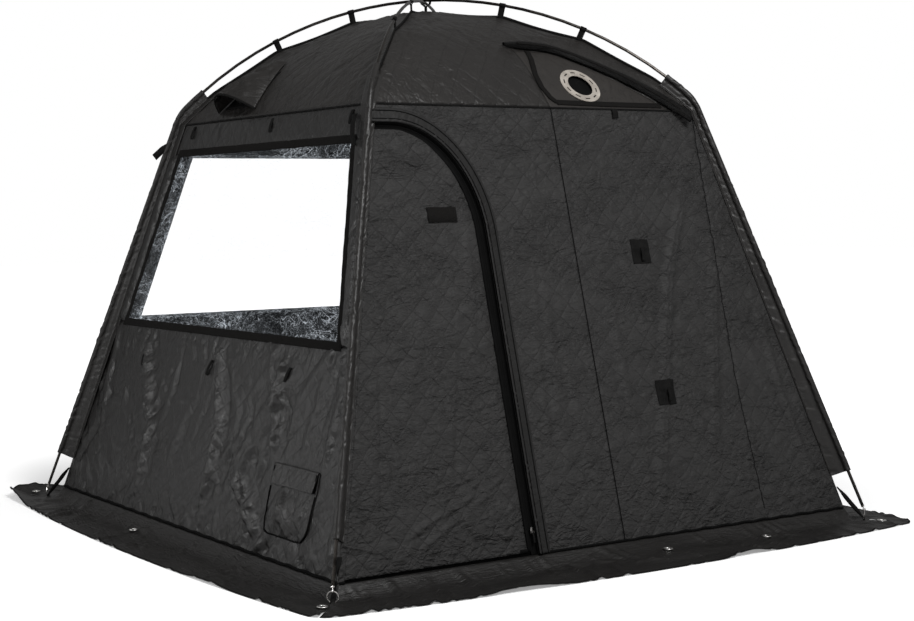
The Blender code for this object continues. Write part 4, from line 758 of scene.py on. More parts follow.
def window_piece(name, edges, across, rows, turn, relief, bulge, flat, area, *replaced):
    """One piece of a window wall, between its left and right edges."""
    sew_panel(name, turn, across, rows, edges, wall_surface,
              lambda x, y, s, t: (relief(x, y) + bulge * np.sin(np.pi * s)) * held(s, t, across * 0.3, rows * 0.3),
              window_cloth, "quilted_cloth", *replaced, flat=flat, held="hung",
              rests_on=["pole_sleeve_front", "pole_sleeve_left"], area=area)


def window_pieces(side, turn, relief, bulge, fineness, node):
    """The piece under a window, the one over it, and a strip at each of its ends."""
    low, high, top = ((wall_half(level), level) for level in (WINDOW_LOW, WINDOW_HIGH, WALL_TOP))
    window_piece(side + "_wall_cloth", mirrored((BASE_HALF, 0.0), low), round(250 * fineness), round(86 * fineness),
                 turn, relief, 0.0, (2.1, 0.685), 1.32, node)
    window_piece(side + "_wall_top", mirrored(high, top), round(180 * fineness), 14, turn, relief, 0.004,
                 (1.422, 0.116), 0.162)
    for place, end in ((1, "first"), (0, "second")):
        film_edge = mirrored((film_half(WINDOW_LOW), WINDOW_LOW), (film_half(WINDOW_HIGH), WINDOW_HIGH))[place]
        window_piece(side + "_wall_strip_" + end, (film_edge, mirrored(low, high)[place]), 12, round(84 * fineness),
                     turn, relief, bulge, (0.085, 0.684), 0.058)


# The foot piping is near-black. This is partly a dark seam and partly painted shade where the wall bunches onto the
# skirt.
def foot_piping(side, turn):
    line = [(x, 0.003 + 0.0015 * math.sin(60.0 * x)) for x in np.arange(-1.045, 1.045, 0.008)]
    sewn_lines(side + "_foot_piping", turn, wall_surface, [line], 0.009, 0.0020, thickness=0.003)


window_pieces("window", WINDOW, window_relief, 0.012, 1.0, "window_wall")
foot_piping("window", WINDOW)
below = [((0.540, 0.600), (0.528, 0.552)), ((-0.010, 0.586), (-0.024, 0.536)), ((-0.567, 0.575), (-0.560, 0.530))]
above = [((-0.545, 1.450), (-0.549, 1.405)), ((0.061, 1.448), (0.064, 1.400)), ((0.587, 1.446), (0.590, 1.402))]
toggles = []
for (x0, y0), (x1, y1) in below + above:
    rest = float(window_relief(np.array([x0]), np.array([y0]))[0]) if y0 < 1.0 else 0.0
    points = [(x0, y0, rest + 0.002), (0.6 * x0 + 0.4 * x1, 0.6 * y0 + 0.4 * y1, rest + 0.007), (x1, y1, rest + 0.008),
              (x1, y1 - 0.004, rest + 0.003)]
    toggles.append((laid(WINDOW, wall_surface, points), (0.0, 1.0, 0.0)))
tape_piece("window_toggles", toggles, 0.016, held="hung")
corner_loop = laid(WINDOW, wall_surface, ((0.620, 1.428, 0.010), (0.632, 1.395, 0.020), (0.648, 1.350, 0.022),
                                          (0.656, 1.322, 0.012)))
corner_end = [(-0.706, 0.712, 1.388), (-0.736, 0.734, 1.368), (-0.764, 0.752, 1.338)]
tape_piece("corner_tabs", [(corner_loop, (0.0, 1.0, 0.0)), (corner_end, (0.5, -0.3, -0.8))], 0.026, held="hung")

# Window film: clear soft PVC, stiff enough to hold the creases it was packed with.
# It is welded behind the cut-out, and hooked tape covers the joint for the inner cover to grip.
# The film glows, though it is no lamp. Its crease streaks show as painted silver highlights, and its glow matches the
# white seen through it.
FILM_COLOUR, FILM_PAINTED_GLOW, FILM_PAINTED_GLOW_STRENGTH = (0.80, 0.86, 0.94, 1.0), (0.86, 0.93, 1.0, 1.0), 0.95
TAPE_HALF, TAPE_LENGTH = 0.014, 4.4
film, tree, shader = new_finish("clear_film", 0.14)
shader.inputs["Base Color"].default_value = FILM_COLOUR
shader.inputs["Emission Color"].default_value = FILM_PAINTED_GLOW
shader.inputs["Emission Strength"].default_value = FILM_PAINTED_GLOW_STRENGTH
pressed = drawn_out(tree, cloth_map(tree), (0.50, 1.1, 1.0))
glowing_veil = ranged(tree, noise(tree, pressed, 9.0, 4.0), 0.40, 0.72, 0.002, 0.010)
marked = ranged(tree, noise(tree, pressed, 8.0, 3.0), 0.42, 0.62, 0.22, 1.0)
for scale, width, strength in ((13.0, 0.010, 0.28), (31.0, 0.014, 0.24), (66.0, 0.020, 0.16)):
    ridge = maths(tree, "ABSOLUTE", maths(tree, "SUBTRACT", noise(tree, pressed, scale, 2.0, 0.55, 1.6), 0.5))
    glowing_streak = maths(tree, "MULTIPLY", ranged(tree, ridge, 0.0, width, strength, 0.0), marked)
    glowing_veil = maths(tree, "MAXIMUM", glowing_veil, glowing_streak)
tree.links.new(glowing_veil, shader.inputs["Alpha"])
hooked_tape, tree, shader = new_finish("hooked_tape", 0.95, specular=0.10)
fuzz = noise(tree, object_place(tree), 600.0, 2.0)
hooks = blend_colour(tree, ranged(tree, fuzz, 0.35, 0.65, 0.0, 1.0), (0.0036, 0.0034, 0.0032), (0.0090, 0.0083, 0.0078))
tree.links.new(hooks, shader.inputs["Base Color"])
bumped(tree, shader, maths(tree, "MULTIPLY", fuzz, 0.0012))


def window_corners(spread):
    """Corners of the film's outline, moved out by spread, from its right foot round and back."""
    low, high = WINDOW_LOW - spread, WINDOW_HIGH + spread
    low_half, high_half = film_half(low) + spread, film_half(high) + spread
    return [(low_half, low), (high_half, high), (-high_half, high), (-low_half, low), (low_half, low)]


def film_and_border(side, turn, seed):
    low_half, high_half = film_half(WINDOW_LOW), film_half(WINDOW_HIGH)
    marks = scattered(seed, 120, (-0.8, 0.8), (0.68, 1.35), (0.0, 180.0), (0.04, 0.22), (0.008, 0.02), (0.001, 0.003))
    sew_panel(side + "_film", turn, 150, 70, mirrored((low_half, WINDOW_LOW), (high_half, WINDOW_HIGH)), wall_surface,
              lambda x, y, s, t: creases(x, y, marks) * held(s, t, 12, 8), film, "clear_pvc", side + "_pane",
              flat=(2.0 * low_half, WINDOW_HIGH - WINDOW_LOW), rests_on=[side + "_wall_cloth"],
              area=(low_half + high_half) * (WINDOW_HIGH - WINDOW_LOW), lift=-0.0012, thickness=0.0006)
    ring = [edge(window_corners(spread), [0.0, 0.2, 0.5, 0.7, 1.0]) for spread in (TAPE_HALF, -TAPE_HALF)]
    sew_panel(side + "_tape", turn, 5, 480, ring, wall_surface,
              lambda x, y, s, t: 0.0006 * np.sin(31.0 * (x + y)) + 0.0004 * np.sin(83.0 * (x - y)),
              hooked_tape, "touch_tape", side + "_border", flat=(2.0 * TAPE_HALF, TAPE_LENGTH),
              rests_on=[side + "_wall_cloth"], lift=0.0026, thickness=0.0018, closed=True)


film_and_border("window", WINDOW, 33)

# Rear wall, the same as the window wall with no pocket, and the far wall, which is plain.
# Both are quilted cloth from the same roll, and hang a little slack between their poles.
rear_folds = [(-0.40, 0.32, 82.0, 0.30, 0.030, 0.012, 0.05), (0.36, 0.30, 97.0, 0.28, 0.030, 0.012, -0.05)]
rear_folds += scattered(41, 360, (-1.05, 1.05), (0.0, 1.46), (30.0, 150.0), (0.05, 0.16), (0.014, 0.022),
                        (0.001, 0.0044))
window_pieces("rear", REAR, lambda x, y: creases(x, y, rear_folds), 0.010, 0.6, "rear_wall")
film_and_border("rear", REAR, 43)
far_folds = [(-0.42, 0.64, 85.0, 0.56, 0.045, 0.012, 0.03), (0.37, 0.58, 92.0, 0.50, 0.045, 0.012, -0.03)]
far_folds += scattered(45, 400, (-1.05, 1.05), (0.0, 1.46), (20.0, 160.0), (0.05, 0.16), (0.014, 0.022),
                       (0.001, 0.0044))
sew_panel("far_wall_cloth", FAR, 150, 110, mirrored((wall_half(0.0), 0.0), (wall_half(WALL_TOP), WALL_TOP)),
          wall_surface, lambda x, y, s, t: creases(x, y, far_folds) * held(s, t, 40, 30), window_cloth,
          "quilted_cloth", "far_wall", flat=(2.1, 1.464), held="hung",
          rests_on=["pole_sleeve_back", "pole_sleeve_right"], area=2.535)
foot_piping("rear", REAR)
foot_piping("far", FAR)

# Door: a D-shaped flap of the same quilted cloth, sewn on along its slanting left side.
# Its free edge is bound for the zip, and it hangs in soft level creases from being rolled up.
flap_free = edge(door_line(-ZIP_CHANNEL, 0.0, 0.010)[:0:-1])
flap_folds = [(-0.66, 0.62, 68.0, 0.40, 0.030, 0.005, 0.1), (-0.42, 0.86, 84.0, 0.36, 0.022, 0.004, -0.05)]
flap_folds += scattered(51, 420, (-1.0, -0.34), (0.0, 1.4), (-35.0, 35.0), (0.03, 0.12), (0.007, 0.016),
                        (0.0010, 0.0032))
flap_folds += puckers(52, (-0.84, 0.0), (-0.66, 1.38), 0.05, 0.05, 0.002)
flap_lines = [(line, rise, 0.012) for rise, line in (
    (0.0075, [(-0.331, 0.275), (-0.572, 0.187), (-0.714, 0.138), (-0.804, 0.098)]),
    (0.0060, [(-0.427, 0.228), (-0.562, 0.158), (-0.645, 0.116), (-0.777, 0.050)]),
    (0.0060, [(-0.780, 0.675), (-0.522, 0.683), (-0.348, 0.625)]),
    (-0.0045, [(-0.516, 0.537), (-0.522, 0.487), (-0.481, 0.462), (-0.362, 0.434)]),
    (0.0045, [(-0.817, 0.463), (-0.736, 0.432), (-0.553, 0.405)]),
    (0.0045, [(-0.688, 0.595), (-0.353, 0.558)]),
    (-0.0040, [(-0.794, 0.655), (-0.845, 0.305), (-0.882, 0.098)]),
    (-0.0040, [(-0.488, 0.684), (-0.560, 0.368), (-0.590, 0.189)]),
    (0.0070, [(-0.581, 0.142), (-0.538, 0.088), (-0.363, 0.062)]))]


def flap_hinge(t):
    up = flap_free(t)[1]
    return -wall_half(up) + DOOR_STRIP + HINGE_GAP, up


def flap_relief(x, y):
    return creases(x, y, flap_folds) + drawn(x, y, flap_lines)


def door_relief(x, y, s, t):
    """The flap's folds, and its free edge tucked back under the zip."""
    return flap_relief(x, y) * held(s, t, 16, 30) - 0.009 * clamped(s * 12.0 - 11.0) ** 1.5


sew_panel("door_cloth", DOOR, 100, 215, (flap_hinge, flap_free), wall_surface, door_relief, door_cloth,
          "quilted_cloth", "door_flap", flat=(0.68, 1.366), held="hung", rests_on=["door_frame_cloth"], area=0.73,
          body="door")
sewn_lines("door_patch", DOOR, wall_surface, [[(-0.536, 1.095), (-0.424, 1.095)]], 0.05, 0.0022, hooked_tape, "door",
           "touch_tape", relief=flap_relief, thickness=0.0016)
# The hem is near-black. This is partly its binding and partly painted shade along the door's tucked edge and foot.
hem = [door_line(-ZIP_CHANNEL - 0.006, -0.60, 0.012), [(-0.350, 0.016), (-1.018, 0.016)]]
sewn_lines("door_hem", DOOR, wall_surface, hem, 0.011, -0.0020, body="door", thickness=0.002)
# The strip behind the door's foot is painted shade for the dark gap under the door.
sewn_lines("door_sill_shade", DOOR, wall_surface, [[(-1.028, 0.014), (-0.318, 0.014)]], 0.034, -0.0110, thickness=0.002)

# Zip: a coarse coil on black tape in the channel round the door, with a steel slider left at the sill.
# The slider's pull is a short loop of cord, sewn to a tab, that hangs from its bar.
ZIP_WIDTH, ZIP_INNER, ZIP_OUTER, COIL_PITCH, COIL_DEPTH, SEAM_STEP = 0.0357, 0.0257, 0.010, 0.0129, 0.0055, 0.0044
PULL_UP, PULL_LIFT, PULL_LOOP = 0.075 - 0.0044, -0.0023 + 0.0085, 0.0019
zip_start = -wall_half(DOOR_TOP) + DOOR_STRIP + HINGE_GAP


def zip_relief(x, y, s, t):
    """Two rows of coil inside the cut in the cloth, and the tape's outer side lifted over the cloth's edge."""
    offset = ZIP_WIDTH * s - ZIP_INNER
    coil = -COIL_DEPTH * np.abs(np.sin(np.pi * (offset + ZIP_INNER) / COIL_PITCH)) * (offset < 0.0)
    return coil + SEAM_STEP * clamped((offset + 0.001) / 0.003)


# The tape is near-black. This is partly its own black and partly painted shade for the deep channel under the storm
# band.
zip_edges = (edge(door_line(HINGE_GAP - ZIP_CHANNEL, zip_start)), edge(door_line(ZIP_OUTER, zip_start)))
sew_panel("zip_tape_cloth", DOOR, 24, 420, zip_edges, wall_surface, zip_relief, shade_and_thread_black, "webbing", "zip_tape",
          flat=(ZIP_WIDTH, 1.66), rests_on=["door_frame_cloth"], lift=-0.0026, thickness=0.0014)
pull_x = DOOR_ARCH_X + DOOR_ARCH_SPAN - ZIP_CHANNEL / 2.0
pull = [(0.0006, -0.034), (0.0010, -0.004)]
pull += [(PULL_LOOP * math.sin(angle), PULL_LOOP * math.cos(angle))
         for angle in np.radians(np.linspace(150.0, -150.0, 13))]
pull += [(-0.0010, -0.004), (-0.0006, -0.034)]
centre = laid(DOOR, wall_surface, [(pull_x, PULL_UP + up, PULL_LIFT + lift) for lift, up in pull])
tape_piece("zip_pull_tab", [(centre, (1.0, 0.0, 0.0))], 0.007, "zip_pull", body="zip_pull", step=0.002,
           thickness=0.001)

# Storm flap: a doubled band of plain cloth over the zip, sewn to the cloth round the door by its outer side.
# Its inner edge stands a little proud, so that the zip runs under it.
BAND_INNER, BAND_OUTER, BAND_LENGTH, BAND_STAND = 0.004, 0.045, 1.75, 0.0115
band_cloth = cloth_finish("band_cloth", (0.0105, 0.0102, 0.0100), (0.0150, 0.0147, 0.0144), 0.55, 0.20, 0.0, 0.008)
band_marks = []
pick = np.random.default_rng(61)
for station in np.arange(0.0, BAND_LENGTH, 0.013):
    band_marks.append((0.018 + pick.uniform(-0.014, 0.014), station, pick.uniform(-35.0, 35.0),
                       pick.uniform(0.010, 0.024), pick.uniform(0.003, 0.006),
                       pick.uniform(0.0008, 0.0024) * pick.choice((-1.0, 1.0)), 0.1))


def band_relief(x, y, s, t):
    rise = BAND_STAND * clamped(1.0 - s) ** 1.3 - 0.0012 * np.exp(-((s - 0.80) / 0.05) ** 2)
    return rise + creases(s * BAND_OUTER, t * BAND_LENGTH, band_marks)


band_edges = (edge(door_line(-BAND_INNER, -wall_half(DOOR_TOP) + HINGE_GAP)),
              edge(door_line(BAND_OUTER, -wall_half(DOOR_TOP + BAND_OUTER) + HINGE_GAP)))
sew_panel("storm_band", DOOR, 12, 420, band_edges, wall_surface, band_relief, band_cloth, "plain_cloth", "storm_flap",
          flat=(BAND_OUTER, BAND_LENGTH), rests_on=["door_frame_cloth"], lift=0.0028, thickness=0.0025)
for index, share in enumerate((0.20, 0.80)):
    line = door_line((BAND_INNER + BAND_OUTER) * share - BAND_INNER, -wall_half(DOOR_TOP) + 0.004)
    sewn_lines("storm_stitch_%d" % index, DOOR, wall_surface, [line], 0.0034,
               0.0032 + BAND_STAND * (1.0 - share) ** 1.3, thickness=0.0012)

# Inlet pocket: plain cloth sewn low on the window wall, bound round its sides and its rounded lower corners.
# A flap sewn above it covers the hole, and is lifted to let air in to the stove.
POUCH_HALF, POUCH_LOW, POUCH_HIGH, POUCH_CORNER, POUCH_LIP = 0.140, 0.078, 0.295, 0.060, 0.218
FLAP_HALF, FLAP_TOP_HALF, FLAP_LOW, FLAP_HIGH, BINDING_HALF = 0.130, 0.134, 0.232, 0.2995, 0.127


def pouch_half(level):
    rise = np.minimum(1.0, (level - POUCH_LOW) / POUCH_CORNER)
    return POUCH_HALF - POUCH_CORNER * (1.0 - np.sqrt(1.0 - (1.0 - rise) ** 2)) * 0.8


def pouch_side(sign):
    def side(t):
        level = POUCH_LOW + (POUCH_HIGH - POUCH_LOW) * t ** 1.5
        return POUCH_X + sign * pouch_half(level), level
    return side


pouch_marks = scattered(71, 90, (0.55, 0.85), (0.07, 0.30), (30.0, 150.0), (0.02, 0.06), (0.004, 0.009),
                        (0.0008, 0.0024))
flap_marks = scattered(72, 40, (0.56, 0.84), (0.22, 0.31), (60.0, 120.0), (0.01, 0.04), (0.004, 0.008),
                       (0.0006, 0.0018))


def pouch_relief(x, y, s, t):
    """The pouch, full where it hangs and flat above its lip."""
    rise = clamped((y - POUCH_LOW) / (POUCH_LIP - POUCH_LOW))
    return (window_relief(x, y) + 0.016 * np.sin(np.pi * s) * np.sin(np.pi * rise)
            + creases(x, y, pouch_marks) * held(s, t, 8, 8))


def pocket_flap_relief(x, y, s, t):
    return window_relief(x, y) + creases(x, y, flap_marks) * held(s, t, 8, 4) + 0.010 * (1.0 - t)


sew_panel("pocket_cloth", WINDOW, 40, 32, (pouch_side(-1.0), pouch_side(1.0)), wall_surface, pouch_relief,
          window_cloth, "plain_cloth", "inlet_pouch", flat=(0.28, 0.217), held="hung",
          rests_on=["window_wall_cloth"], area=0.057, lift=0.0028, thickness=0.0025)
sew_panel("pocket_flap", WINDOW, 40, 14, mirrored((FLAP_HALF, FLAP_LOW), (FLAP_TOP_HALF, FLAP_HIGH), POUCH_X),
          wall_surface, pocket_flap_relief, window_cloth, "plain_cloth", "inlet_flap", flat=(0.268, 0.070),
          held="hung", rests_on=["pocket_cloth"], body="inlet_flap", lift=0.0052, thickness=0.0022)
flap_edge = [(POUCH_X + FLAP_HALF, 0.290), (POUCH_X + BINDING_HALF, 0.235), (POUCH_X - BINDING_HALF, 0.235),
             (POUCH_X - FLAP_HALF, 0.290)]
sewn_lines("pocket_flap_binding", WINDOW, wall_surface, [flap_edge], 0.005, 0.0080, body="inlet_flap",
           relief=window_relief, thickness=0.003)
rim = [(POUCH_X + sign * (pouch_half(np.array([level]))[0] - 0.002), level) for sign, levels in
       ((-1.0, np.linspace(0.225, POUCH_LOW, 24)), (1.0, np.linspace(POUCH_LOW, 0.225, 24))) for level in levels]
sewn_lines("pocket_binding", WINDOW, wall_surface, [rim], 0.004, 0.0042, relief=window_relief, thickness=0.003)

# Roof: four gores of the quilted cloth, sewn to each other along the ridges and hung from the poles by tabs.
# Between its tabs the cloth sags, so that each ridge runs in scallops.
PANEL_TOP, PANEL_KNEE_X, PANEL_RIGHT_X = 0.485, 0.19, 0.56


def roof_slope(out):
    return np.arctan(math.sqrt(2.0) * np.tan(np.arcsin(out * math.sqrt(2.0) / ROOF_RADIUS)))


def ridge_sag(diagonal):
    """How far a ridge hangs under its line between the crown, the tabs and the wall's corner."""
    marks = (0.02, *TAB_DIAGONALS, 0.83)
    sag = np.zeros_like(diagonal)
    for low, high, depth in zip(marks, marks[1:], (0.012, 0.014, 0.010)):
        share = clamped((diagonal - low) / (high - low))
        sag += depth * np.sin(np.pi * share)
    return sag


def roof_surface(along, out, lift):
    """Point on a gore that faces -Y, out from the tent's axis, lift proud of it."""
    along, out = np.asarray(along, float), np.asarray(out, float)
    slope = roof_slope(out)
    near_ridge = clamped(np.abs(along) / np.maximum(out, 0.01)) ** 3
    z = ridge_z(out * math.sqrt(2.0)) - ridge_sag(out * math.sqrt(2.0)) * near_ridge
    return along, -out - lift * np.sin(slope), z + lift * np.cos(slope)


roof_cloth = cloth_finish("roof_cloth", (0.0105, 0.0094, 0.0086), (0.0150, 0.0136, 0.0125), 0.46, 0.32, 0.0020, 0.020,
                          stretch=(0.8, 1.2, 1.0))


def ridge_marks(seed, sign):
    """Folds that fan out into the gore from where its tabs pull on the ridge."""
    pick = np.random.default_rng(seed)
    marks = []
    for diagonal in (*TAB_DIAGONALS, 0.93):
        out = diagonal / math.sqrt(2.0)
        for _ in range(7):
            angle = pick.uniform(-30.0, 75.0)
            reach = pick.uniform(0.05, 0.14)
            turn = math.radians(angle)
            marks.append((sign * (out - 0.02 - reach * math.cos(turn)), out - reach * math.sin(turn) * 0.6,
                          sign * angle, reach, pick.uniform(0.008, 0.016), pick.uniform(0.001, 0.004), 0.1))
    return marks


def gore_relief(seed, count, right_seed, left_seed):
    """Wrinkles of a gore, and the folds from the tabs on its two ridges."""
    marks = scattered(seed, count, (-0.66, 0.66), (0.0, 0.68), (0.0, 180.0), (0.02, 0.11), (0.008, 0.018),
                      (0.0008, 0.003))
    marks += ridge_marks(right_seed, 1.0) + ridge_marks(left_seed, -1.0)
    return lambda x, y, s, t: creases(x, y, marks) * held(s, t, 20, 24)


def middle_seam(t):
    out = TOP_HALF + (CROWN_HALF - TOP_HALF) * t
    return np.minimum(SEAM_X, out), out


gore_sides = mirrored((TOP_HALF, TOP_HALF), (CROWN_HALF, CROWN_HALF))
for name, turn, seed in (("window", WINDOW, 81), ("rear", REAR, 82), ("far", FAR, 83)):
    sew_panel("roof_%s_cloth" % name, turn, 110, 84, gore_sides, roof_surface,
              gore_relief(seed, 320, seed + 10, seed + 20), roof_cloth, "quilted_cloth", "roof_gore_" + name,
              flat=(1.364, 0.80), held="hung", rests_on=["roof_pole_upper", "roof_pole_lower"], area=0.56)
door_gore_relief = gore_relief(84, 260, 94, 95)
sew_panel("roof_door_left_cloth", DOOR, 70, 84, (gore_sides[0], middle_seam), roof_surface, door_gore_relief,
          roof_cloth, "quilted_cloth", "roof_gore_door_left", flat=(0.717, 0.80), held="hung",
          rests_on=["roof_pole_lower"], area=0.30)
seam_side = edge([(SEAM_X, SEAM_X + 0.01), (SEAM_X, PANEL_TOP), (PANEL_KNEE_X, PANEL_TOP), (PANEL_RIGHT_X, TOP_HALF)],
                 [0.0, 0.5, 0.6, 1.0])
ridge_side = edge([(SEAM_X + 0.01, SEAM_X + 0.01), (TOP_HALF, TOP_HALF)])
sew_panel("roof_door_right_cloth", DOOR, 60, 90, (seam_side, ridge_side), roof_surface, door_gore_relief, roof_cloth,
          "quilted_cloth", "roof_gore_door_right", flat=(0.65, 0.80), held="hung", rests_on=["roof_pole_upper"],
          area=0.20)
for corner in CORNER_TURNS:
    way, across = corner_ways(corner)
    welt = [way * diagonal + UPRIGHT * (ridge_z(diagonal) - ridge_sag(np.array([diagonal]))[0] + 0.0045)
            for diagonal in np.linspace(0.05, 0.86, 60)]
    tape_piece("ridge_welt_" + corner, [(welt, UPRIGHT)], 0.011, thickness=0.003)
for name, turn in (("door", DOOR), ("window", WINDOW), ("rear", REAR), ("far", FAR)):
    sewn_lines("roof_seam_" + name, turn, wall_surface, [[(-0.672, WALL_TOP - 0.003), (0.672, WALL_TOP - 0.003)]],
               0.005, 0.0022, webbing, thickness=0.003)

# Chimney panel: heat-proof glass cloth let into the roof, with a slotted steel ring riveted round its hole.
# Its cover is rolled up along its top and right edges, with the hooked tape that closes it showing.
RING_X, RING_OUT, HOLE_ALONG, HOLE_OUT, LID_HALF = 0.218, 0.617, 0.049, 0.036, 0.062
ROLL_HALF, ROLL_HIGH, ROLL_START, ROLL_END, ROLL_BEND = 0.0200, 0.0095, 0.0, TOP_HALF - 0.042, 0.06
heat_cloth = cloth_finish("heat_cloth", (0.0190, 0.0172, 0.0158), (0.0260, 0.0234, 0.0216), 0.6, 0.22, 0.0, 0.004)
cover_cloth = cloth_finish("cover_cloth", (0.0012, 0.0011, 0.0011), (0.0028, 0.0026, 0.0025), 0.50, 0.12, 0.0, 0.010)
hole = [(RING_X + HOLE_ALONG * math.cos(angle), RING_OUT + HOLE_OUT * math.sin(angle))
        for angle in np.linspace(math.pi, 3.0 * math.pi, 61)]
around = [(SEAM_X, RING_OUT), (SEAM_X, PANEL_TOP), (PANEL_KNEE_X, PANEL_TOP), (PANEL_RIGHT_X, TOP_HALF),
          (SEAM_X, TOP_HALF), (SEAM_X, RING_OUT)]
panel_marks = scattered(97, 70, (0.03, 0.56), (0.48, 0.68), (0.0, 180.0), (0.02, 0.08), (0.006, 0.014),
                        (0.0006, 0.002))


def panel_relief(x, y, s, t):
    """Wrinkles of the panel, which is flat under the ring."""
    away = clamped((np.hypot(x - RING_X, (y - RING_OUT) * 1.3) - 0.085) / 0.03)
    return creases(x, y, panel_marks) * held(s, np.full_like(t, 0.5), 6, 6) * away


panel_edges = (edge(hole), edge(around, [0.0, 0.13, 0.27, 0.62, 0.93, 1.0]))
sew_panel("chimney_cloth", DOOR, 16, 160, panel_edges, roof_surface, panel_relief, heat_cloth, "plain_cloth",
          "chimney_panel", flat=(0.525, 0.26), rests_on=["roof_door_left_cloth"], area=0.088, thickness=0.0025,
          closed=True)
dress("chimney_ring", metal_finish("ring_steel", (0.78, 0.71, 0.63), (0.90, 0.84, 0.76), 0.40, 0.55, 0.00004))
strips = [[(0.090, 0.486), (0.078, 0.524), (0.048, 0.584), (0.042, 0.627), (0.057, 0.659), (0.071, 0.668)],
          [(0.071, 0.670), (0.294, 0.672), (0.535, 0.672)]]
sewn_lines("chimney_tape", DOOR, roof_surface, strips, 0.021, 0.0026, hooked_tape, slot="touch_tape",
           thickness=0.0016)
# A near-black sheet under the ring fills its hole with painted shade, for the dark inside of the tent seen through it.
sew_panel("chimney_hole_shade", DOOR, 12, 12, mirrored((LID_HALF, 0.566), (LID_HALF, 0.664), RING_X), roof_surface,
          lambda x, y, s, t: 0.0006 * np.sin(60.0 * x), shade_and_thread_black, "plain_cloth", flat=(2.0 * LID_HALF, 0.14),
          rests_on=["chimney_cloth"], lift=-0.0090, thickness=0.0015)
slant = (TOP_HALF - PANEL_TOP) / (PANEL_RIGHT_X - PANEL_KNEE_X)


def cover_out(x):
    """How far out the rolled cover lies: level over the panel's top, then down its slanting side."""
    past = x - PANEL_KNEE_X
    return PANEL_TOP - 0.022 + (past + np.hypot(past, ROLL_BEND)) / 2.0 * slant


def roll_surface(around, run, lift):
    """Point on the rolled cover: around from -1 to 1 from its lip once round, run from 0 to 1 along it."""
    around, run = np.asarray(around, float), np.asarray(run, float)
    x = ROLL_START + (ROLL_END - ROLL_START) * run
    past = x - PANEL_KNEE_X
    taper = clamped(0.35 + run * 5.0)
    angle = np.pi * (around + 0.55)
    size = 1.0 + 0.10 * around + lift
    turned_way = slant * (0.5 + 0.5 * past / np.hypot(past, ROLL_BEND))
    lean = 1.0 / np.hypot(1.0, turned_way)
    wide = np.sign(np.cos(angle)) * np.abs(np.cos(angle)) ** 0.8 * ROLL_HALF * taper * size
    high = ROLL_HIGH * (1.0 + np.sin(angle) * size * taper) + 0.001
    return roof_surface(x - wide * turned_way * lean, cover_out(x) + wide * lean * 0.75, high)


roll_marks = scattered(131, 60, (-1.0, 1.0), (0.0, 1.0), (60.0, 120.0), (0.06, 0.25), (0.02, 0.05), (0.03, 0.09))
sew_panel("cover_roll", DOOR, 40, 110, mirrored((1.0, 0.0), (1.0, 1.0)), roll_surface,
          lambda x, y, s, t: creases(x, y, roll_marks), cover_cloth, "plain_cloth", "chimney_cover",
          flat=(0.26, 0.70), held="gathered", rests_on=["chimney_cloth"], area=0.085, thickness=0.0015)
stripe = [(x, cover_out(x) + 0.004) for x in np.linspace(0.05, 0.60, 30)]
sewn_lines("cover_tape", DOOR, roof_surface, [stripe], 0.012, 2.0 * ROLL_HIGH + 0.0028, hooked_tape,
           slot="touch_tape", thickness=0.0014)
tab = laid(DOOR, wall_surface, [(0.31, WALL_TOP - down, lift) for down, lift in
                                ((0.004, 0.004), (0.018, 0.009), (0.036, 0.005))])
tape_piece("roof_seam_tab", [(tab, (1.0, 0.0, 0.0))], 0.024, held="hung")

# Vent hood: a cowl of plain cloth over a netted hole in the roof, propped open by a short stay.
# Its mouth faces down the roof, and its rim is rolled over a cord.
VENT_X, VENT_HALF, VENT_MOUTH, VENT_LENGTH, VENT_TIP_X, VENT_TIP_HALF = -0.256, 0.138, 0.660, 0.175, -0.215, 0.022
STAY_OUT, STAY_LENGTH, HOOD_HEIGHT = 0.640, 0.062, 0.085
mouth_slope = float(roof_slope(STAY_OUT))
HOOD_ANCHOR = tuple(float(value) for value in on_side(WINDOW, *roof_surface(VENT_X, STAY_OUT, 0.0)))
hood_sides = [edge([(VENT_X + sign * VENT_HALF, VENT_MOUTH),
                    (VENT_TIP_X + sign * VENT_TIP_HALF, VENT_MOUTH - VENT_LENGTH)]) for sign in (-1.0, 1.0)]
hood_marks = scattered(101, 110, (-0.40, -0.12), (0.48, 0.66), (0.0, 180.0), (0.02, 0.09), (0.006, 0.012),
                       (0.0015, 0.0050))


def hood_relief(x, y, s, t):
    """An arch that falls from the mouth to the tip, dented at one side."""
    arch = (0.008 + HOOD_HEIGHT * (1.0 - t) ** 0.8) * (1.0 - (2.0 * s - 1.0) ** 2)
    dent = 0.010 * np.exp(-((s - 0.35) / 0.14) ** 2 - ((t - 0.35) / 0.25) ** 2)
    return arch - dent * (1.0 - t) + 0.003 + creases(x, y, hood_marks) * held(s, t, 6, 1000)


hood = sew_panel("hood_cloth", WINDOW, 60, 40, hood_sides, roof_surface, hood_relief, roof_cloth, "plain_cloth",
                 "vent_hood", flat=(0.276, 0.20), held="hung", rests_on=["roof_window_cloth"], area=0.045,
                 thickness=0.0025)
shares = np.linspace(0.0, 1.0, 41)
mouth_x, mouth_out = VENT_X + (2.0 * shares - 1.0) * VENT_HALF, np.full(41, VENT_MOUTH)
mouth = on_side(WINDOW, *roof_surface(mouth_x, mouth_out, hood_relief(mouth_x, mouth_out, shares, np.zeros(41))))
rim_way = on_side(WINDOW, 0.0, -math.cos(mouth_slope), -math.sin(mouth_slope))
rim = tape_piece("hood_rim", [(mouth, rim_way)], 0.007, thickness=0.004)
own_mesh(hood)
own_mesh(rim)
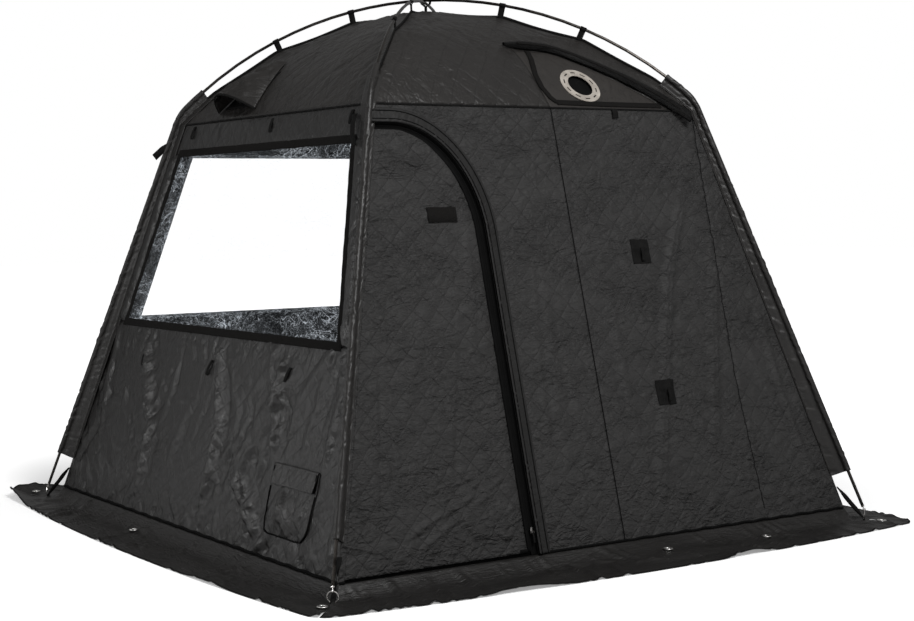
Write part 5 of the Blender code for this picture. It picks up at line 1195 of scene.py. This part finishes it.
# The net is near-black. This is partly its own colour and partly painted shade for the dark inside of the hood.
net_sides = (edge([(VENT_X - 0.10, 0.652), (VENT_X - 0.03, 0.53)]),
             edge([(VENT_X + 0.10, 0.652), (VENT_X + 0.10, 0.53)]))
sew_panel("vent_net", WINDOW, 20, 16, net_sides, roof_surface, lambda x, y, s, t: 0.0008 * np.sin(90.0 * x),
          shade_and_thread_black, "plain_cloth", flat=(0.20, 0.15), rests_on=["roof_window_cloth"], area=0.028, lift=0.0024,
          thickness=0.001)
stay = laid(WINDOW, roof_surface, [(VENT_X, STAY_OUT, lift) for lift in np.linspace(0.0006, STAY_LENGTH, 8)])
tape_piece("vent_stay_tape", [(stay, on_side(WINDOW, 1.0, 0.0, 0.0))], 0.020, "vent_stay", body="vent_stay",
           thickness=0.0015)

# Pole sleeves: a cloth tunnel round each pole with a web behind it, sewn into the corner of the walls.
# They run from above the foot, round the shoulder, and stop square on the roof.
POLE_STANDOFF, FOOT_STANDOFF, PIN_TOP, SLEEVE_FOOT = 0.020, 0.068, 0.0400, 0.178
SHOULDER_BEND, SLEEVE_ON_ROOF, TUNNEL, SLEEVE_SIDE = 0.035, 0.13, 0.0106, 0.100
TUNNEL_SHARE, WEB_SHARE, TUNNEL_TURN, DIAGONAL = 0.42, 0.70, 152.0, 0.7071
SLEEVE_FLARES = {"front": (0.050, 0.014), "left": (0.030, 0.050), "right": (0.012, 0.030), "back": (0.030, 0.030)}
pin_point = np.array((BASE_HALF * math.sqrt(2.0) + FOOT_STANDOFF, PIN_TOP))
leg_top = np.array((TOP_HALF * math.sqrt(2.0) + POLE_STANDOFF, ROOF_SEAM_Z))
leg_way = (leg_top - pin_point) / np.hypot(*(leg_top - pin_point))
shoulder = np.array((0.9690, 1.4985))
seam_top = np.array((TOP_HALF * math.sqrt(2.0), ROOF_SEAM_Z))
seam_foot = np.array((BASE_HALF * math.sqrt(2.0), WALL_FOOT_Z))
seam_way = (seam_foot - seam_top) / np.hypot(*(seam_foot - seam_top))
shoulder_angle = math.asin(shoulder[0] / ROOF_RADIUS)


def arc_place(distance):
    angle = shoulder_angle - distance / ROOF_RADIUS
    return np.array((ROOF_RADIUS * math.sin(angle), APEX_Z - ROOF_RADIUS + ROOF_RADIUS * math.cos(angle)))


low_end = pin_point + leg_way * (SLEEVE_FOOT - pin_point[1]) / leg_way[1]
bend_start, bend_end = shoulder - leg_way * SHOULDER_BEND, arc_place(SHOULDER_BEND)
stations = [low_end + (bend_start - low_end) * share for share in np.linspace(0.0, 1.0, 40)]
for share in np.linspace(0.1, 0.9, 9):
    stations.append((1.0 - share) ** 2 * bend_start + 2.0 * share * (1.0 - share) * shoulder + share ** 2 * bend_end)
stations = np.array(stations + [arc_place(distance) for distance in np.linspace(SHOULDER_BEND, SLEEVE_ON_ROOF, 12)])
path = reached(stations)
roots = []
centre = np.array((0.0, APEX_Z - ROOF_DROP - ROOF_RADIUS))
for station in stations:
    down = (station - seam_top) @ seam_way
    root = seam_top + seam_way * max(down, 0.0)
    if down <= 0.0:
        on_roof = centre + (station - centre) / np.hypot(*(station - centre)) * ROOF_RADIUS
        root = on_roof if on_roof[0] < seam_top[0] else seam_top
    roots.append(root)
roots = np.array(roots)


def sleeve_form(first_flare, second_flare):
    """Surface of a sleeve, from edge to edge round the pole. Its edges lie out on the walls at the shoulder."""
    def surface(along, level, lift):
        along, level = np.asarray(along, float), np.asarray(level, float)
        cx, cz = (np.interp(level, path, stations[:, axis]) for axis in (0, 1))
        rx, rz = (np.interp(level, path, roots[:, axis]) for axis in (0, 1))
        depth = np.hypot(cx - rx, cz - rz)
        ox, oz = (cx - rx) / depth, (cz - rz) / depth
        side, share = np.sign(along), np.abs(along) / SLEEVE_SIDE
        angle = np.radians(clamped(share / TUNNEL_SHARE) * TUNNEL_TURN)
        web = clamped((share - TUNNEL_SHARE) / (WEB_SHARE - TUNNEL_SHARE))
        wing = clamped((share - WEB_SHARE) / (1.0 - WEB_SHARE))
        neck = math.radians(180.0 - TUNNEL_TURN)
        neck_out, neck_side = -TUNNEL * math.cos(neck), TUNNEL * math.sin(neck)
        out = np.where(share < TUNNEL_SHARE, (TUNNEL + lift) * np.cos(angle), neck_out + (-depth - neck_out) * web)
        sunk = neck_side - 0.0020 * np.sin(np.pi * clamped(web * 3.0)) + 0.001 * web + lift
        across = np.where(share < TUNNEL_SHARE, (TUNNEL + lift) * np.sin(angle), sunk)
        flare = np.where(side > 0.0, second_flare, first_flare) * clamped(0.30 + 0.75 * level / path[-1]) * wing
        return cx + ox * out - DIAGONAL * flare, side * (across + DIAGONAL * flare), cz + oz * out
    return surface


sleeve_cloth = cloth_finish("sleeve_cloth", (0.0100, 0.0092, 0.0086), (0.0150, 0.0138, 0.0130), 0.42, 0.34, 0.0, 0.006)
for index, corner in enumerate(CORNER_TURNS):
    marks = []
    pick = np.random.default_rng(110 + index)
    for station in np.arange(0.0, path[-1], 0.011):
        for side in (-1.0, 1.0):
            marks.append((side * pick.uniform(0.004, 0.095), station, side * pick.uniform(20.0, 60.0),
                          pick.uniform(0.014, 0.040), pick.uniform(0.005, 0.010),
                          pick.uniform(0.0010, 0.0028) * pick.choice((-1.0, 1.0)), 0.15))
    sew_panel("sleeve_" + corner, math.radians(CORNER_TURNS[corner]), 44, 400,
              mirrored((SLEEVE_SIDE, 0.0), (SLEEVE_SIDE, path[-1])), sleeve_form(*SLEEVE_FLARES[corner]),
              lambda x, y, s, t: creases(x, y, marks) * clamped(np.minimum(s, 1.0 - s) * 14.0), sleeve_cloth,
              "quilted_cloth", "pole_sleeve_" + corner, flat=(0.20, path[-1]), rests_on=["pole_leg_" + corner],
              area=0.24, thickness=0.0014)

# Snow skirt: coated cloth in four mitred panels, sewn to the foot of the walls and lying out on the ground.
# Pegs go through plated steel eyelets, and the rim bows out and has lifted in waves between them.
SKIRT_HALF, SKIRT_CORNER, SKIRT_BOW, SKIRT_CURL, SKIRT_WIDTH = 1.222, 0.055, 0.070, 0.40, 0.172
SKIRT_RUN, SKIRT_RUN_CORNER, SKIRT_THICKNESS = 0.090, 0.034, 0.002
EYELET_RADIUS, EYELET_WIRE, EYELET_REACH, EYELET_OUT, EYELET_CORNER = 0.0125, 0.0042, 0.018, 1.135, (1.128, 1.150)


def skirt_surface(along, level, lift):
    """Point on the skirt: along from -1 to 1 from mitre to mitre, level from 0 at the wall to 1 at the rim."""
    along, level = np.asarray(along, float), np.asarray(level, float)
    run = SKIRT_RUN + (SKIRT_RUN_CORNER - SKIRT_RUN) * np.abs(along) ** 4
    flat = SKIRT_HALF + SKIRT_BOW * (1.0 - along ** 2) - BASE_HALF - run
    row = level * 5.0
    out = BASE_HALF + np.where(row <= 2.0, run * row / 2.0, run + flat * (row - 2.0) / 3.0)
    x = along * out
    slope = clamped(1.0 - row / 2.0)
    z = SKIRT_THICKNESS + (WALL_FOOT_Z - SKIRT_THICKNESS) * slope ** 2
    core = SKIRT_HALF - SKIRT_CORNER
    past_x, past_y = np.maximum(np.abs(x) - core, 0.0), np.maximum(out - core, 0.0)
    reach = np.maximum(np.hypot(past_x, past_y), 1e-9)
    shrink = np.where((past_x > 0.0) & (past_y > 0.0), np.maximum(past_x, past_y) / reach, 1.0)
    x = np.where(past_x * past_y > 0.0, np.sign(x) * (core + past_x * shrink), x)
    out = np.where(past_x * past_y > 0.0, core + past_y * shrink, out)
    return x, -out, z + lift


def bump_of(value):
    """One wave of a cosine, from -1 to 1 of its value."""
    return np.where(np.abs(value) < 1.0, 0.5 + 0.5 * np.cos(np.pi * np.clip(value, -1.0, 1.0)), 0.0)


def skirt_rise(x, out, lifts, humps):
    """Height of the rim's waves and of the humps behind it."""
    share = (out - BASE_HALF) / SKIRT_WIDTH
    curl = np.clip((share - SKIRT_CURL) / (1.0 - SKIRT_CURL), 0.0, None) ** 2
    arch = np.clip(4.0 * share * (1.0 - share), 0.0, None)
    return (curl * sum(height * bump_of((x - middle) / width) for middle, width, height in lifts)
            + arch * sum(height * bump_of((x - middle) / width) for middle, width, height in humps))


def eyelet(bm, here):
    """Rolled metal ring that lies round a place."""
    ring = bmesh.ops.create_circle(bm, segments=10, radius=EYELET_WIRE)
    bmesh.ops.rotate(bm, verts=ring["verts"], cent=(0.0, 0.0, 0.0), matrix=Matrix.Rotation(math.radians(90.0), 3, "X"))
    bmesh.ops.translate(bm, verts=ring["verts"], vec=(EYELET_RADIUS, 0.0, 0.0))
    section = ring["verts"][:] + list(dict.fromkeys(e for v in ring["verts"] for e in v.link_edges))
    bmesh.ops.spin(bm, geom=section, cent=(0.0, 0.0, 0.0), axis=(0.0, 0.0, 1.0), angle=math.tau, steps=28)
    fresh = [vert for vert in bm.verts if not vert.tag]
    bmesh.ops.scale(bm, verts=fresh, vec=(1.0, 1.0, 0.55))
    bmesh.ops.translate(bm, verts=fresh, vec=here)
    for vert in fresh:
        vert.tag = True


skirt_cloth = cloth_finish("skirt_cloth", (0.0100, 0.0094, 0.0089), (0.0155, 0.0146, 0.0139), 0.42, 0.32, 0.0, 0.008)
eyelet_steel = metal_finish("eyelet_steel", (0.55, 0.54, 0.52), (0.75, 0.74, 0.72), 0.25, 0.42, 0.00003)
for index, (name, turn, places, lifts, humps) in enumerate((
        ("door", DOOR, (0.14, 0.58), ((0.36, 0.14, 0.006), (-0.55, 0.22, 0.006)), ((0.16, 0.30, 0.014),)),
        ("window", WINDOW, (-0.19,), ((0.64, 0.20, 0.003), (-SKIRT_HALF, 0.35, 0.032)), ()),
        ("rear", REAR, (-0.19,), ((0.42, 0.20, 0.010), (SKIRT_HALF, 0.35, 0.032)), ()),
        ("far", FAR, (-0.19,), ((0.42, 0.20, 0.010),), ()))):
    marks = scattered(120 + index, 90, (-1.25, 1.25), (0.0, 0.24), (55.0, 125.0), (0.05, 0.20), (0.010, 0.024),
                      (0.003, 0.010))
    marks += scattered(140 + index, 150, (-1.25, 1.25), (0.0, 0.24), (-60.0, 60.0), (0.02, 0.10), (0.006, 0.014),
                       (0.001, 0.004))

    def skirt_relief(x, y, s=None, t=None):
        place_x, place_y, _ = skirt_surface(x, y, 0.0)
        wave = skirt_rise(place_x, -place_y, lifts, humps)
        return wave + (np.abs(creases(place_x, -place_y - BASE_HALF, marks)) + 0.0002) * clamped(y * 6.0)

    panel = sew_panel("skirt_%s_cloth" % name, turn, 300, 34, mirrored((1.0, 0.0), (1.0, 1.0)), skirt_surface,
                      skirt_relief, skirt_cloth, "skirt_cloth", "skirt_" + name, flat=(2.444, 0.242), held="laid",
                      rests_on=["window_wall_cloth"], area=0.50, thickness=SKIRT_THICKNESS)
    lofted = [Vector(vert.co) for vert in panel.data.vertices]
    bm = bmesh.new()
    for along, out in [(along, EYELET_OUT) for along in places] + [EYELET_CORNER]:
        here = Vector(on_side(turn, along, -out, 0.0))
        here.z = max(point.z for point in lofted if (point.xy - here.xy).length < EYELET_REACH) + 0.0016
        eyelet(bm, here)
    bmesh.ops.remove_doubles(bm, verts=bm.verts, dist=MERGE_REACH)
    bmesh.ops.recalc_face_normals(bm, faces=bm.faces)
    rings = placed("eyelets_" + name, mesh_of("eyelets_" + name, bm))
    rings.data.shade_smooth()
    rings.data.materials.append(eyelet_steel)
    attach(rings, "tent")
    rim = [(x, 0.985) for x in np.linspace(-0.985, 0.985, 160)]
    sewn_lines("skirt_hem_" + name, turn, skirt_surface, [rim], 0.004, 0.0008, relief=skirt_relief)
